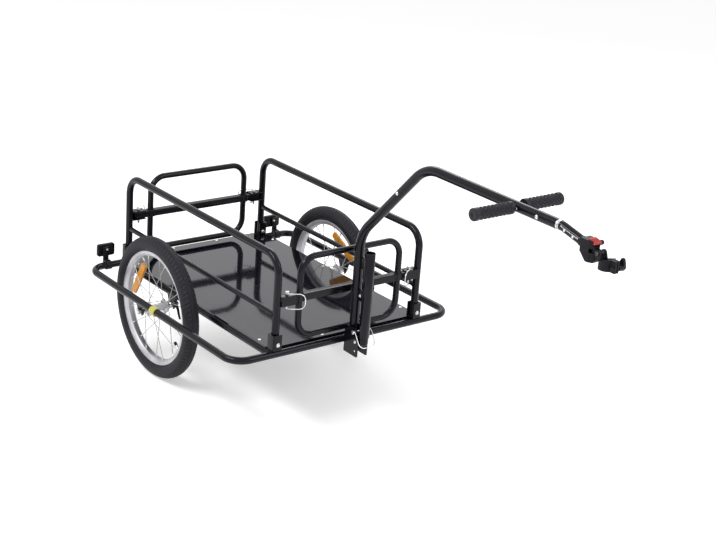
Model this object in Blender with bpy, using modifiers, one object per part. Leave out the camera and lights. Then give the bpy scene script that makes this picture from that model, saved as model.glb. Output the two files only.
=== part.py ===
"""Bike cargo trailer: a tube frame on two spoked wheels, with folding side frames, lift-out end gates,
a bent tow arm with a handlebar, a sliding parking leg and a seat-post hitch."""

import math

import bmesh
import bpy
from mathutils import Matrix, Vector

# Driving dimensions in metres. X runs forward from the wheel axle, Y to the left, Z up from the ground.
GAP = 0.0003                 # between pieces that touch
RUN = 0.0005                 # running clearance at bearings and hinges
SIDES = {"right": -1, "left": 1}

WHEEL_R = 0.200
WHEEL_Y = 0.300
TYRE_W = 0.044
RIM_R = WHEEL_R - 0.039      # top of the rim's flanges
RIM_INNER_R = RIM_R - 0.015
RIM_SHOULDER = 0.009         # depth of the rim's straight sides
RIM_W = 0.027
RIM_WALL = 0.0018
RIM_BED = 0.005              # depth of the channel that holds the tyre's beads
RIM_NOSE_W = 0.014           # width of the rim's inner wall
SPOKES = 20
SPOKE_R = 0.0010
SPOKE_SWEEP = 60             # degrees between a spoke's hub hole and its place in the rim
HUB_FLANGE_R = 0.020
HUB_HOLES_R = 0.0165
HUB_FLANGE_Y = 0.025
HUB_FLANGE_T = 0.004
HUB_BARREL_R = 0.011
HUB_END = 0.036              # half the length of the hub shell
AXLE_R = 0.005
AXLE_BORE_R = 0.0029
CONE_R = 0.008
SKEWER_R = 0.0025
LEVER_LENGTH = 0.046
LEVER_PIN_R = 0.0020
LEVER_T = 0.006
LEVER_EYE_R = 0.006
LEVER_SLANT = 30             # degrees of a lever in front of straight down
CHEEK_T = 0.0022

DROPOUT_SPAN = 0.096         # clear distance between a wheel's two dropouts
TUBE_R = 0.010
RING_REAR = -0.281
RING_FRONT = 0.474
RING_Y = WHEEL_Y + DROPOUT_SPAN / 2 + TUBE_R
RING_Z = WHEEL_R + 0.0306    # heights above it are given from it
RING_BEND = 0.050
RAIL_Y = WHEEL_Y - DROPOUT_SPAN / 2 - 0.007
SUPPORT_R = 0.008
SUPPORT_X = {"rear": -0.100, "front": 0.190}
DROPOUT_T = 0.004
DROPOUT_TOP_W = 0.052
DROPOUT_END_R = 0.014

PANEL_T = 0.004
PANEL_REAR = RING_REAR - 0.012
PANEL_FRONT = RING_FRONT - 0.010
PANEL_Y = RAIL_Y + 0.0025

POST_X = {"rear": RING_REAR + 0.0035, "front": RING_FRONT - 0.0075}
ENDS = {"rear": -1, "front": 1}
POST_Y = RAIL_Y - 0.014
HOOP_TOP = RING_Z + 0.2604
HOOP_BEND = 0.050
MID_RAIL_R = 0.007
MID_RAIL_Z = RING_Z + 0.1034
BRACKET_WALL = 0.004
BRACKET_H = 0.043
BRACKET_REACH = 0.012        # from the post's axis to the bracket's open inner edge
PIVOT_H = 0.016              # pivot bolt above the bracket's foot
BOLT_R = 0.003
BOLT_HEAD_R = 0.0058
BOLT_HEAD_H = 0.0042
NUT_H = 0.0045

GATE_Y = POST_Y - 0.069
GATE_R = 0.0085
GATE_TOP = RING_Z + 0.2474
GATE_BOTTOM = RING_Z + 0.0314
GATE_BEND = 0.045
BAR = 0.020                  # square mid bar
BAR_Z = RING_Z + 0.1414
BAR_END = POST_Y - 0.0165
HOLDER_WALL = 0.003
HOLDER_INNER = GATE_Y + GATE_R + 0.003   # free end of the gate holder, beside the gate's loop
PIN_Y = POST_Y - 0.030
PIN_R = 0.003
PIN_HEAD_R = 0.0052
PIN_HEAD_H = 0.0090
PIN_TAIL = 0.0135            # pin that shows past its lower flange
WIRE_R = 0.00135
BAIL_REACH = 0.047
BAIL_BEND = 0.016
BAIL_SHORT = 0.0035          # the wire ends this far before its pin's tip
BAIL_TURN = 30               # degrees that a gate bail stands out of the gate's plane

ARM_R = 0.0125
ARM_X = RING_FRONT + TUBE_R + GAP + ARM_R
ARM_FOOT = RING_Z - 0.0276
ARM_RISE = 46.6              # degrees above level of the arm's slanting run
ARM_KNEE_Z = RING_Z + 0.2964
ARM_BEND = 0.110
ARM_TOP = RING_Z + 0.5384
ARM_END = (ARM_X + 0.6762, ARM_TOP - 0.0040)
STEM_R = 0.011
STEM_INSERT = 0.070
STEM_DROP = 13.5             # degrees below level of the stem's free run
STEM_BEND = 0.050
STEM_END_X = ARM_END[0] + 0.093
COLLAR_W = 0.0090
COLLAR_R = STEM_R + 0.0012
BAR_X = ARM_END[0] - 0.126
BAR_TUBE_R = 0.008
GRIP_R = 0.0165
GRIP_END = 0.1465

FOOT_REAR = RING_FRONT + 0.004
FOOT_FRONT = ARM_X + 0.0412
FOOT_LOW = (RING_Z - 0.0256, RING_Z - 0.0326)   # lower edge at the back and at the front
FOOT_TOP = RING_Z + 0.0454
FOOT_T = 0.003
FOOT_WEB_TOP = RING_Z - 0.0121
FOOT_PIN = (ARM_X + 0.0265, RING_Z + 0.0354)
FOOT_PIN_TAIL = 0.0180
FOOT_BAIL_REACH = 0.0476
FOOT_BAIL_DROP = 56          # degrees below level
LEG_X = ARM_X + 0.0445
LEG_R = 0.012
LEG_TIP = RING_Z - 0.0016
LEG_TOP = RING_Z + 0.2494
SLEEVE_R = LEG_R + 0.002
SLEEVE_TOP = RING_Z + 0.2584
SLEEVE_BOTTOM = RING_Z + 0.0244
SLEEVE_LUG_Z = (RING_Z + 0.1334, RING_Z + 0.2214)
SLEEVE_LUG_T = 0.008
SLEEVE_LUG_H = 0.030
SLEEVE_BOLT_R = 0.0025

YAW_X = STEM_END_X + 0.019
HITCH_Z = ARM_END[1] - 0.024 # height of the hitch's upright and level pins
HITCH_NOSE_R = 0.011
COUPLER_HALF = 0.014
COUPLER_REAR = YAW_X - 0.0305
COUPLER_TOP = HITCH_Z + 0.022
COUPLER_FOOT = HITCH_Z - 0.0265
COUPLER_WALL = 0.003         # under the stem's socket
YAW_PIN_R = 0.004
TONGUE_T = 0.009
TONGUE_HALF = 0.007
BARREL_R = 0.0065
PITCH_PIN_R = 0.0025
EAR_T = 0.004
EAR_R = 0.0075
PITCH_X = YAW_X + HITCH_NOSE_R + RUN + EAR_R
CLAMP_BORE_R = 0.0127
CLAMP_X = PITCH_X + BARREL_R + GAP + CLAMP_BORE_R   # the post in the clamp passes in front of the barrel
CLAMP_R = 0.0178
CLAMP_Z = (HITCH_Z - 0.0305, HITCH_Z - 0.0115)
CLAMP_SLIT = 0.003
JAW_T = 0.005
JAW_REACH = 0.0305           # from the clamp's axis to the front of its jaws
JAW_BOLT = 0.0245            # from the clamp's axis to its bolt
JAW_BOLT_R = 0.0025
BUTTON = (0.020, 0.020, 0.0105)
BUTTON_FALL = 0.006          # the button's top slopes down to the front
BUTTON_TRAVEL = 0.003
BUTTON_PROUD = 0.0035
BUTTON_X = YAW_X - 0.001
KNOB_R = 0.0062
KNOB_WING = 0.026

REFLECTOR = (0.011, 0.054, 0.044)
REFLECTOR_X = RING_REAR - 0.025
REFLECTOR_Y = WHEEL_Y - 0.008
REFLECTOR_Z = RING_Z + 0.0414
CLIP_Y = WHEEL_Y
CLIP_W = 0.012
CLIP_T = 0.0025
SPOKE_REFLECTOR_R = (RIM_INNER_R - 0.034, RIM_INNER_R - 0.010)
SPOKE_REFLECTOR_SPAN = 46    # degrees
SPOKE_REFLECTOR_TURN = {"right": 153, "left": 63}
SPOKE_REFLECTOR_T = 0.006
CAP_X = 0.085
CAP_L = 0.024
CAP_R = TUBE_R + 0.0025

REAR_REACH = REFLECTOR_X - REFLECTOR[0] / 2
FRONT_REACH = CLAMP_X + JAW_REACH
ORIGIN_X = (REAR_REACH + FRONT_REACH) / 2

for thing in list(bpy.data.objects):
    bpy.data.objects.remove(thing, do_unlink=True)

parts = bpy.data.collections.new("bike_cargo_trailer")
cutters = bpy.data.collections.new("cutters")
bpy.context.scene.collection.children.link(parts)
bpy.context.scene.collection.children.link(cutters)
trailer = bpy.data.objects.new("trailer", None)
trailer.location = (-ORIGIN_X, 0, 0)
parts.objects.link(trailer)


def material(name, colour, roughness, metallic):
    made = bpy.data.materials.new(name)
    made.use_nodes = True
    shader = made.node_tree.nodes["Principled BSDF"]
    shader.inputs["Base Color"].default_value = (*colour, 1)
    shader.inputs["Roughness"].default_value = roughness
    shader.inputs["Metallic"].default_value = metallic
    return made


BLACK = material("black_enamel", (0.012, 0.012, 0.014), 0.35, 0.0)
GLOSS = material("floor_gloss", (0.02, 0.02, 0.024), 0.12, 0.0)
ZINC = material("zinc", (0.70, 0.70, 0.72), 0.30, 1.0)
POLISHED = material("polished_alloy", (0.80, 0.81, 0.83), 0.18, 1.0)
RUBBER = material("rubber", (0.018, 0.018, 0.018), 0.80, 0.0)
PLASTIC = material("black_plastic", (0.02, 0.02, 0.022), 0.50, 0.0)
RED = material("red_plastic", (0.62, 0.04, 0.03), 0.40, 0.0)
AMBER = material("amber_lens", (0.85, 0.36, 0.03), 0.20, 0.0)
LIME = material("lime_plastic", (0.62, 0.66, 0.06), 0.40, 0.0)


def facing(direction):
    """Rotation that turns local Z onto a direction."""
    return Vector(direction).to_track_quat("Z", "Y").to_euler()


def frame_of(x_axis, y_axis):
    """Rotation whose local X and Y lie along two square directions."""
    x_axis = Vector(x_axis).normalized()
    y_axis = Vector(y_axis).normalized()
    return Matrix((x_axis, y_axis, x_axis.cross(y_axis))).transposed().to_euler()


def place(name, data, at=(0, 0, 0), turn=(0, 0, 0)):
    """Put a mesh or curve in the cutters, until keep() makes it a part."""
    thing = bpy.data.objects.new(name, data)
    thing.location = at
    thing.rotation_euler = turn
    thing.hide_render = True
    thing.display_type = "WIRE"
    cutters.objects.link(thing)
    return thing


def keep(thing, surface, smooth=40):
    """Make a finished solid one of the trailer's parts."""
    thing = settle(thing)
    cutters.objects.unlink(thing)
    parts.objects.link(thing)
    thing.hide_render = False
    thing.display_type = "TEXTURED"
    thing.parent = trailer
    thing.data.materials.clear()
    thing.data.materials.append(surface)
    thing.data.shade_smooth()
    thing.data.set_sharp_from_angle(angle=math.radians(smooth))
    return thing


def settle(thing):
    """Turn a curve, or a mesh with modifiers, into a plain welded mesh in the same place."""
    graph = bpy.context.evaluated_depsgraph_get()
    graph.update()
    data = bpy.data.meshes.new_from_object(thing.evaluated_get(graph))
    shape = bmesh.new()
    shape.from_mesh(data)
    bmesh.ops.remove_doubles(shape, verts=shape.verts, dist=0.000002)
    shape.to_mesh(data)
    shape.free()
    name = thing.name
    solid = bpy.data.objects.new("solid", data)
    solid.location = thing.location
    solid.rotation_euler = thing.rotation_euler
    solid.hide_render = True
    solid.display_type = "WIRE"
    cutters.objects.link(solid)
    bpy.data.objects.remove(thing, do_unlink=True)
    solid.name = name
    data.name = name
    return solid


def combine(thing, tool, operation):
    thing = thing if thing.type == "MESH" else settle(thing)
    tool = tool if tool.type == "MESH" else settle(tool)
    step = thing.modifiers.new(operation.lower(), "BOOLEAN")
    step.operation = operation
    step.solver = "EXACT"
    step.object = tool
    solid = settle(thing)
    bpy.data.objects.remove(tool, do_unlink=True)
    return solid


def origin_at(thing, point):
    """Move a solid's origin, without moving the solid."""
    point = Vector(point)
    thing.data.transform(Matrix.Translation(-point) @ thing.matrix_basis)
    thing.matrix_basis = Matrix.Translation(point)
    return thing


def join(thing, *tools):
    for tool in tools:
        thing = combine(thing, tool, "UNION")
    return thing


def cut(thing, *tools):
    for tool in tools:
        thing = combine(thing, tool, "DIFFERENCE")
    return thing


def bevelled(thing, width, segments=1):
    thing = settle(thing)
    step = thing.modifiers.new("bevel", "BEVEL")
    step.width = width
    step.segments = segments
    step.limit_method = "ANGLE"
    step.angle_limit = math.radians(40)
    return settle(thing)


def box(name, size, at, bevel=0, turn=(0, 0, 0)):
    shape = bmesh.new()
    bmesh.ops.create_cube(shape, size=1)
    bmesh.ops.scale(shape, vec=size, verts=shape.verts)
    data = bpy.data.meshes.new(name)
    shape.to_mesh(data)
    shape.free()
    thing = place(name, data, at, turn)
    return bevelled(thing, bevel) if bevel else thing


def rod(name, start, end, radius, sides=16, end_radius=None):
    """Straight cylinder or cone between two points."""
    start = Vector(start)
    end = Vector(end)
    shape = bmesh.new()
    bmesh.ops.create_cone(shape, cap_ends=True, segments=sides, radius1=radius,
                          radius2=radius if end_radius is None else end_radius,
                          depth=(end - start).length)
    data = bpy.data.meshes.new(name)
    shape.to_mesh(data)
    shape.free()
    return place(name, data, (start + end) / 2, facing(end - start))


def turned(name, profile, at, axis, steps):
    """Revolve (radius, height) points round an axis. A profile off the axis closes on itself."""
    data = bpy.data.meshes.new(name)
    open_ended = profile[0][0] == 0 and profile[-1][0] == 0
    count = len(profile)
    edges = [(index, index + 1) for index in range(count - 1)]
    if not open_ended:
        edges.append((count - 1, 0))
    data.from_pydata([(radius, 0, height) for radius, height in profile], edges, [])
    thing = place(name, data, at, facing(axis))
    screw = thing.modifiers.new("turn", "SCREW")
    screw.steps = steps
    screw.render_steps = steps
    screw.use_merge_vertices = True
    screw.merge_threshold = 0.00001
    return outward(settle(thing))


def outward(thing):
    shape = bmesh.new()
    shape.from_mesh(thing.data)
    bmesh.ops.recalc_face_normals(shape, faces=shape.faces)
    shape.to_mesh(thing.data)
    shape.free()
    return thing


def bent(corners, radius, steps, closed=False):
    """Points of straight runs whose inner corners are rounded to one bend radius."""
    corners = [Vector(corner) for corner in corners]
    count = len(corners)
    points = []
    for index, corner in enumerate(corners):
        if not closed and index in (0, count - 1):
            points.append(corner)
            continue
        back = (corners[index - 1] - corner).normalized()
        ahead = (corners[(index + 1) % count] - corner).normalized()
        half = back.angle(ahead) / 2
        middle = corner + (back + ahead).normalized() * radius / math.sin(half)
        start = corner + back * radius / math.tan(half) - middle
        end = corner + ahead * radius / math.tan(half) - middle
        sweep = start.angle(end)
        axis = start.cross(end).normalized()
        for step in range(steps + 1):
            points.append(middle + Matrix.Rotation(sweep * step / steps, 3, axis) @ start)
    return points


def tube(name, points, radius, sides=12, closed=False):
    """Round bar along points, with flat capped ends."""
    curve = bpy.data.curves.new(name, "CURVE")
    curve.dimensions = "3D"
    curve.bevel_depth = radius
    curve.bevel_resolution = sides // 2 - 2
    curve.use_fill_caps = True
    spline = curve.splines.new("POLY")
    spline.points.add(len(points) - 1)
    spline.use_cyclic_u = closed
    for point, where in zip(spline.points, points):
        point.co = (*where, 1)
    return settle(place(name, curve))


def arc(middle, radius, start, end, steps):
    """Points of an arc in a plane, with its angles in degrees."""
    found = []
    for step in range(steps + 1):
        angle = math.radians(start + (end - start) * step / steps)
        found.append((middle[0] + radius * math.cos(angle), middle[1] + radius * math.sin(angle)))
    return found


def plate(name, outline, thickness, at, turn, holes=()):
    """Flat outline in local XY, with round holes given as (x, y, radius), thick along local Z."""
    curve = bpy.data.curves.new(name, "CURVE")
    curve.dimensions = "2D"
    curve.fill_mode = "BOTH"
    curve.extrude = thickness / 2
    loops = [outline]
    for x, y, radius in holes:
        loops.append(arc((x, y), radius, 0, 360 - 30, 11))
    for loop in loops:
        spline = curve.splines.new("POLY")
        spline.points.add(len(loop) - 1)
        spline.use_cyclic_u = True
        for point, where in zip(spline.points, loop):
            point.co = (*where, 0, 1)
    return outward(settle(place(name, curve, at, turn)))


UPRIGHT = frame_of((1, 0, 0), (0, 0, 1))     # outline drawn in X and Z
ACROSS = frame_of((0, 1, 0), (0, 0, 1))      # outline drawn in Y and Z


def add_wheels():
    """Tyre, laced rim and hub, axle, quick-release skewer and lever, and reflector, on each side."""
    steps = 32
    half = TYRE_W / 2
    bead = RIM_W / 2 - RIM_WALL - GAP
    middle = WHEEL_R - half
    section = [(RIM_R - RIM_BED + GAP, bead), (RIM_R + GAP, bead)]
    section += arc((middle, 0), half, 126, -126, 8)
    section += [(RIM_R + GAP, -bead), (RIM_R - RIM_BED + GAP, -bead)]
    flange = RIM_W / 2
    bed = flange - RIM_WALL
    rim_profile = [(RIM_R, flange), (RIM_R, bed), (RIM_R - RIM_BED, bed), (RIM_R - RIM_BED, -bed),
                   (RIM_R, -bed), (RIM_R, -flange), (RIM_R - RIM_SHOULDER, -flange),
                   (RIM_INNER_R, -RIM_NOSE_W / 2), (RIM_INNER_R, RIM_NOSE_W / 2), (RIM_R - RIM_SHOULDER, flange)]
    bore = AXLE_R + RUN
    low = HUB_FLANGE_Y - HUB_FLANGE_T / 2
    high = HUB_FLANGE_Y + HUB_FLANGE_T / 2
    hub_half = [(bore, HUB_END), (HUB_BARREL_R + 0.001, HUB_END), (HUB_BARREL_R + 0.003, high),
                (HUB_FLANGE_R, high), (HUB_FLANGE_R, low), (HUB_BARREL_R, low - 0.003)]
    hub_profile = hub_half + [(radius, -height) for radius, height in reversed(hub_half)]
    dropout = DROPOUT_SPAN / 2
    cone_start = HUB_END + RUN
    end = dropout + DROPOUT_T * 0.8
    axle_half = [(AXLE_BORE_R, end), (AXLE_R, end), (AXLE_R, dropout - GAP), (CONE_R, dropout - GAP),
                 (CONE_R, cone_start + 0.004), (AXLE_R, cone_start)]
    axle_profile = axle_half + [(radius, -height) for radius, height in reversed(axle_half)]

    for side, sign in SIDES.items():
        centre = (0, sign * WHEEL_Y, WHEEL_R)
        tyre = turned(f"tyre_{side}", section, centre, (0, 1, 0), steps)
        keep(tyre, RUBBER)
        rim = turned(f"wheel_{side}", rim_profile, centre, (0, 1, 0), steps)
        hub = turned("hub", hub_profile, centre, (0, 1, 0), 16)
        keep(join(rim, hub, lacing(sign)), POLISHED)
        keep(turned(f"axle_{side}", axle_profile, centre, (0, 1, 0), 12), ZINC)
        add_skewer(side, sign, dropout + DROPOUT_T)
        add_spoke_reflector(side, sign)


def lacing(sign):
    """All of a wheel's spokes in one mesh: alternate flanges, crossing within each flange."""
    shape = bmesh.new()
    outer = (RIM_INNER_R + RIM_R - RIM_BED) / 2
    for index in range(SPOKES):
        flange = 1 if index % 2 else -1
        sweep = 1 if index % 4 < 2 else -1
        rim_angle = math.radians(360 * index / SPOKES)
        hub_angle = rim_angle + math.radians(SPOKE_SWEEP) * sweep
        hub_y = flange * HUB_FLANGE_Y + sweep * HUB_FLANGE_T / 2
        start = Vector((HUB_HOLES_R * math.cos(hub_angle), hub_y, HUB_HOLES_R * math.sin(hub_angle)))
        end = Vector((outer * math.cos(rim_angle), flange * RIM_NOSE_W / 6, outer * math.sin(rim_angle)))
        made = bmesh.ops.create_cone(shape, cap_ends=True, segments=4, radius1=SPOKE_R, radius2=SPOKE_R,
                                     depth=(end - start).length)
        turn = facing(end - start).to_matrix().to_4x4()
        bmesh.ops.transform(shape, matrix=Matrix.Translation((start + end) / 2) @ turn, verts=made["verts"])
    data = bpy.data.meshes.new("spokes")
    shape.to_mesh(data)
    shape.free()
    return place("spokes", data, (0, sign * WHEEL_Y, WHEEL_R))


LEVER_TURN = math.radians(LEVER_SLANT)
LEVER_DOWN = Vector((math.sin(LEVER_TURN), 0, -math.cos(LEVER_TURN)))
LEVER_AXIS = Vector((math.cos(LEVER_TURN), 0, math.sin(LEVER_TURN)))


def lever_pivot(sign):
    """Pivot of a quick-release lever, on the side of the wheel nearer the load."""
    cup_face = DROPOUT_SPAN / 2 + DROPOUT_T + GAP + 0.003
    return Vector((0, sign * (WHEEL_Y - cup_face - LEVER_EYE_R - RUN), WHEEL_R))


def add_skewer(side, sign, plate_face):
    """Rod with a nut outside and a forked head inside, and the lever in the fork."""
    nut = plate_face + GAP
    profile = [(0, nut + 0.0125), (0.006, nut + 0.0125), (0.0085, nut + 0.010), (0.0085, nut),
               (SKEWER_R, nut), (SKEWER_R, -nut), (0.0085, -nut), (0.0085, -nut - 0.003),
               (0, -nut - 0.003)]
    centre = Vector((0, sign * WHEEL_Y, WHEEL_R))
    skewer = turned(f"skewer_{side}", profile, centre, (0, sign, 0), 12)
    pivot = lever_pivot(sign)
    inward = Vector((0, -sign, 0))
    out = LEVER_T / 2 + GAP + CHEEK_T / 2
    cheek = arc((0, 0), 0.0058, 0, 180, 6) + [(-0.0058, -LEVER_EYE_R - 0.002), (0.0058, -LEVER_EYE_R - 0.002)]
    turn = frame_of(LEVER_AXIS.cross(inward), inward)
    cheeks = [plate("cheek", cheek, CHEEK_T, pivot + LEVER_AXIS * out * way, turn) for way in (-1, 1)]
    reach = LEVER_AXIS * (LEVER_T / 2 + GAP + CHEEK_T * 0.8)
    pin = rod("pin", pivot - reach, pivot + reach, LEVER_PIN_R, 10)
    keep(join(skewer, *cheeks, pin), ZINC)

    tip = LEVER_LENGTH
    outline = arc((0, 0), LEVER_EYE_R, 300, 40, 8)
    outline += [(tip * 0.35, 0.0042), (tip * 0.75, 0.0024), (tip, 0.0022), (tip, -0.0012)]
    outline += [(tip * 0.75, -0.0020), (tip * 0.35, -0.0012)]
    lever = plate(f"quick_release_lever_{side}", outline, LEVER_T, pivot, frame_of(LEVER_DOWN, inward),
                  holes=[(0, 0, LEVER_PIN_R + GAP)])
    keep(lever, PLASTIC)


def add_spoke_reflector(side, sign):
    """Curved amber block clipped against the outer spokes."""
    inner, outer = SPOKE_REFLECTOR_R
    half = SPOKE_REFLECTOR_SPAN / 2
    turn = SPOKE_REFLECTOR_TURN[side]
    outline = arc((0, 0), outer, turn - half, turn + half, 7)
    outline += arc((0, 0), inner, turn + half, turn - half, 7)
    middle = (inner + outer) / 2
    share = (middle - HUB_HOLES_R) / (RIM_INNER_R - HUB_HOLES_R)
    spoke_y = HUB_FLANGE_Y + HUB_FLANGE_T / 2 + (RIM_NOSE_W / 6 - HUB_FLANGE_Y - HUB_FLANGE_T / 2) * share
    face_y = WHEEL_Y + spoke_y + SPOKE_R * 2.5 + GAP + SPOKE_REFLECTOR_T / 2
    thing = plate(f"spoke_reflector_{side}", outline, SPOKE_REFLECTOR_T, (0, sign * face_y, WHEEL_R), UPRIGHT)
    keep(bevelled(thing, 0.0012), AMBER)


def dropout_plate(side_y, holes_y):
    """Plate that hangs under a frame tube and holds an axle end in an open slot."""
    drop = RING_Z - WHEEL_R
    top = DROPOUT_TOP_W / 2
    outline = [(top, 0.002), (-top, 0.002), (-top, -0.004)]
    outline += [(x, z - drop) for x, z in arc((0, 0), DROPOUT_END_R, 200, 340, 8)]
    outline += [(top, -0.004)]
    hanger = plate("dropout", outline, DROPOUT_T, (0, side_y, RING_Z), UPRIGHT)
    slot_w = (AXLE_R + GAP) * 2
    slot = box("slot", (slot_w, DROPOUT_T * 3, DROPOUT_END_R * 2), (0, side_y, WHEEL_R - DROPOUT_END_R))
    seat = rod("seat", (0, side_y - holes_y, WHEEL_R), (0, side_y + holes_y, WHEEL_R), AXLE_R + GAP, 16)
    return cut(hanger, slot, seat)


def add_base():
    """Outer ring, inner rails with their dropouts, support tubes and the floor panel."""
    corners = [(RING_REAR, -RING_Y, RING_Z), (RING_FRONT, -RING_Y, RING_Z),
               (RING_FRONT, RING_Y, RING_Z), (RING_REAR, RING_Y, RING_Z)]
    ring = tube("base_ring", bent(corners, RING_BEND, 5, closed=True), TUBE_R, 12, closed=True)
    outer_y = WHEEL_Y + DROPOUT_SPAN / 2 + DROPOUT_T / 2
    inner_y = WHEEL_Y - DROPOUT_SPAN / 2 - DROPOUT_T / 2
    ring = join(ring, *[dropout_plate(sign * outer_y, DROPOUT_T) for sign in SIDES.values()])
    keep(ring, BLACK)
    clear = TUBE_R + GAP
    for side, sign in SIDES.items():
        y = sign * RAIL_Y
        rail = tube(f"inner_rail_{side}", [(RING_REAR, y, RING_Z), (RING_FRONT, y, RING_Z)], TUBE_R)
        copes = [rod("cope", (x, y - 0.02, RING_Z), (x, y + 0.02, RING_Z), clear, 16)
                 for x in (RING_REAR, RING_FRONT)]
        keep(cut(join(rail, dropout_plate(sign * inner_y, DROPOUT_T)), *copes), BLACK)
    support_z = RING_Z + TUBE_R - SUPPORT_R
    for end, x in SUPPORT_X.items():
        support = tube(f"cross_tube_{end}", [(x, -RAIL_Y, support_z), (x, RAIL_Y, support_z)], SUPPORT_R, 10)
        copes = [rod("cope", (x - 0.02, y, RING_Z), (x + 0.02, y, RING_Z), clear, 16)
                 for y in (-RAIL_Y, RAIL_Y)]
        keep(cut(support, *copes), BLACK)

    panel_z = RING_Z + TUBE_R + GAP + PANEL_T / 2
    size = (PANEL_FRONT - PANEL_REAR, PANEL_Y * 2, PANEL_T)
    panel = box("floor_panel", size, ((PANEL_FRONT + PANEL_REAR) / 2, 0, panel_z))
    notches = []
    inner = POST_Y - BRACKET_REACH - 0.002
    for end, x in POST_X.items():
        edge = x - ENDS[end] * (TUBE_R + GAP + BRACKET_WALL + 0.002)
        far = (PANEL_FRONT if end == "front" else PANEL_REAR) + ENDS[end] * 0.01
        for sign in SIDES.values():
            notches.append(box("notch", (abs(far - edge), PANEL_Y - inner + 0.01, PANEL_T * 3),
                               ((far + edge) / 2, sign * (inner + PANEL_Y + 0.01) / 2, panel_z)))
    keep(bevelled(cut(panel, *notches), 0.0006), GLOSS)


BRACKET_FOOT = RING_Z + TUBE_R + GAP
PIVOT_Z = BRACKET_FOOT + PIVOT_H
POST_FOOT = BRACKET_FOOT + BRACKET_WALL + GAP
HOLDER_GAP = BAR / 2 + GAP


def add_posts():
    """Bracket and pivot bolt under each post of the side frames."""
    clear = TUBE_R + GAP
    for end, x in POST_X.items():
        for side, sign in SIDES.items():
            near = POST_Y - BRACKET_REACH
            far = POST_Y + clear + BRACKET_WALL
            size = (2 * (clear + BRACKET_WALL), far - near, BRACKET_H)
            bracket = box(f"post_bracket_{end}_{side}", size,
                          (x, sign * (near + far) / 2, BRACKET_FOOT + BRACKET_H / 2))
            inside = box("inside", (2 * clear, clear * 2 + 0.02, BRACKET_H),
                         (x, sign * (POST_Y - 0.01), BRACKET_FOOT + BRACKET_WALL + BRACKET_H / 2))
            reach = clear + BRACKET_WALL
            hole = rod("hole", (x - reach * 2, sign * POST_Y, PIVOT_Z), (x + reach * 2, sign * POST_Y, PIVOT_Z),
                       BOLT_R + GAP, 8)
            keep(cut(bracket, inside, hole), BLACK)
            face = x + reach + GAP
            back = x - reach - GAP
            bolt = rod(f"pivot_bolt_{end}_{side}", (back - NUT_H - 0.0005, sign * POST_Y, PIVOT_Z),
                       (face + 0.001, sign * POST_Y, PIVOT_Z), BOLT_R, 8)
            head = rod("head", (face, sign * POST_Y, PIVOT_Z), (face + BOLT_HEAD_H, sign * POST_Y, PIVOT_Z),
                       BOLT_HEAD_R, 10, BOLT_HEAD_R * 0.7)
            nut = rod("nut", (back - NUT_H, sign * POST_Y, PIVOT_Z), (back, sign * POST_Y, PIVOT_Z),
                      BOLT_HEAD_R, 6)
            keep(join(bolt, head, nut), ZINC)


def gate_holder(end, sign):
    """Channel welded to a post, open towards the load bed, that takes a gate's bar end."""
    x = POST_X[end]
    out = ENDS[end]
    seat = POST_Y - TUBE_R + 0.004
    half = HOLDER_GAP + HOLDER_WALL
    slant = 0.010
    outline = [(seat, -half), (seat, half), (HOLDER_INNER + slant, half), (HOLDER_INNER, half - slant),
               (HOLDER_INNER, slant - half), (HOLDER_INNER + slant, -half)]
    outline = [(sign * y, z) for y, z in outline]
    web_x = x + out * (HOLDER_GAP + HOLDER_WALL / 2)
    web = plate("web", outline, HOLDER_WALL, (web_x, 0, BAR_Z), ACROSS)
    start = HOLDER_INNER + slant
    flanges = []
    for way in (-1, 1):
        thick = HOLDER_WALL - GAP
        size = (2 * HOLDER_GAP + HOLDER_WALL * 0.9, seat - 0.001 - start, thick)
        middle = (x + out * HOLDER_WALL * 0.45, sign * (seat - 0.001 + start) / 2,
                  BAR_Z + way * (HOLDER_GAP + thick / 2))
        flanges.append(box("flange", size, middle))
    return join(web, *flanges)


def pin_hole(end, sign):
    reach = HOLDER_GAP + HOLDER_WALL * 2
    at = Vector((POST_X[end], sign * PIN_Y, BAR_Z))
    return rod("hole", at - Vector((0, 0, reach)), at + Vector((0, 0, reach)), PIN_R + GAP, 10)


def add_side_frames():
    """Inverted U tube with a thinner mid rail and a gate holder on each post."""
    for side, sign in SIDES.items():
        y = sign * POST_Y
        corners = [(POST_X["rear"], y, POST_FOOT), (POST_X["rear"], y, HOOP_TOP),
                   (POST_X["front"], y, HOOP_TOP), (POST_X["front"], y, POST_FOOT)]
        hoop = tube(f"side_frame_{side}", bent(corners, HOOP_BEND, 5), TUBE_R, 12)
        rail = tube("mid_rail", [(POST_X["rear"] + 0.002, y, MID_RAIL_Z), (POST_X["front"] - 0.002, y, MID_RAIL_Z)],
                    MID_RAIL_R, 8)
        hoop = join(hoop, rail, gate_holder("rear", sign), gate_holder("front", sign))
        holes = [pin_hole(end, sign) for end in ENDS]
        for x in POST_X.values():
            holes.append(rod("hole", (x - 0.02, y, PIVOT_Z), (x + 0.02, y, PIVOT_Z), BOLT_R + GAP, 8))
        keep(cut(hoop, *holes), BLACK)


def add_gates():
    """End gates: a closed loop crossed by a square bar whose ends sit in the holders."""
    for end, x in POST_X.items():
        corners = [(x, -GATE_Y, GATE_BOTTOM), (x, GATE_Y, GATE_BOTTOM), (x, GATE_Y, GATE_TOP), (x, -GATE_Y, GATE_TOP)]
        loop = tube(f"{end}_gate", bent(corners, GATE_BEND, 5, closed=True), GATE_R, 10, closed=True)
        bar = box("bar", (BAR, BAR_END * 2, BAR), (x, 0, BAR_Z))
        keep(cut(join(loop, bar), pin_hole(end, -1), pin_hole(end, 1)), BLACK)


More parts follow.
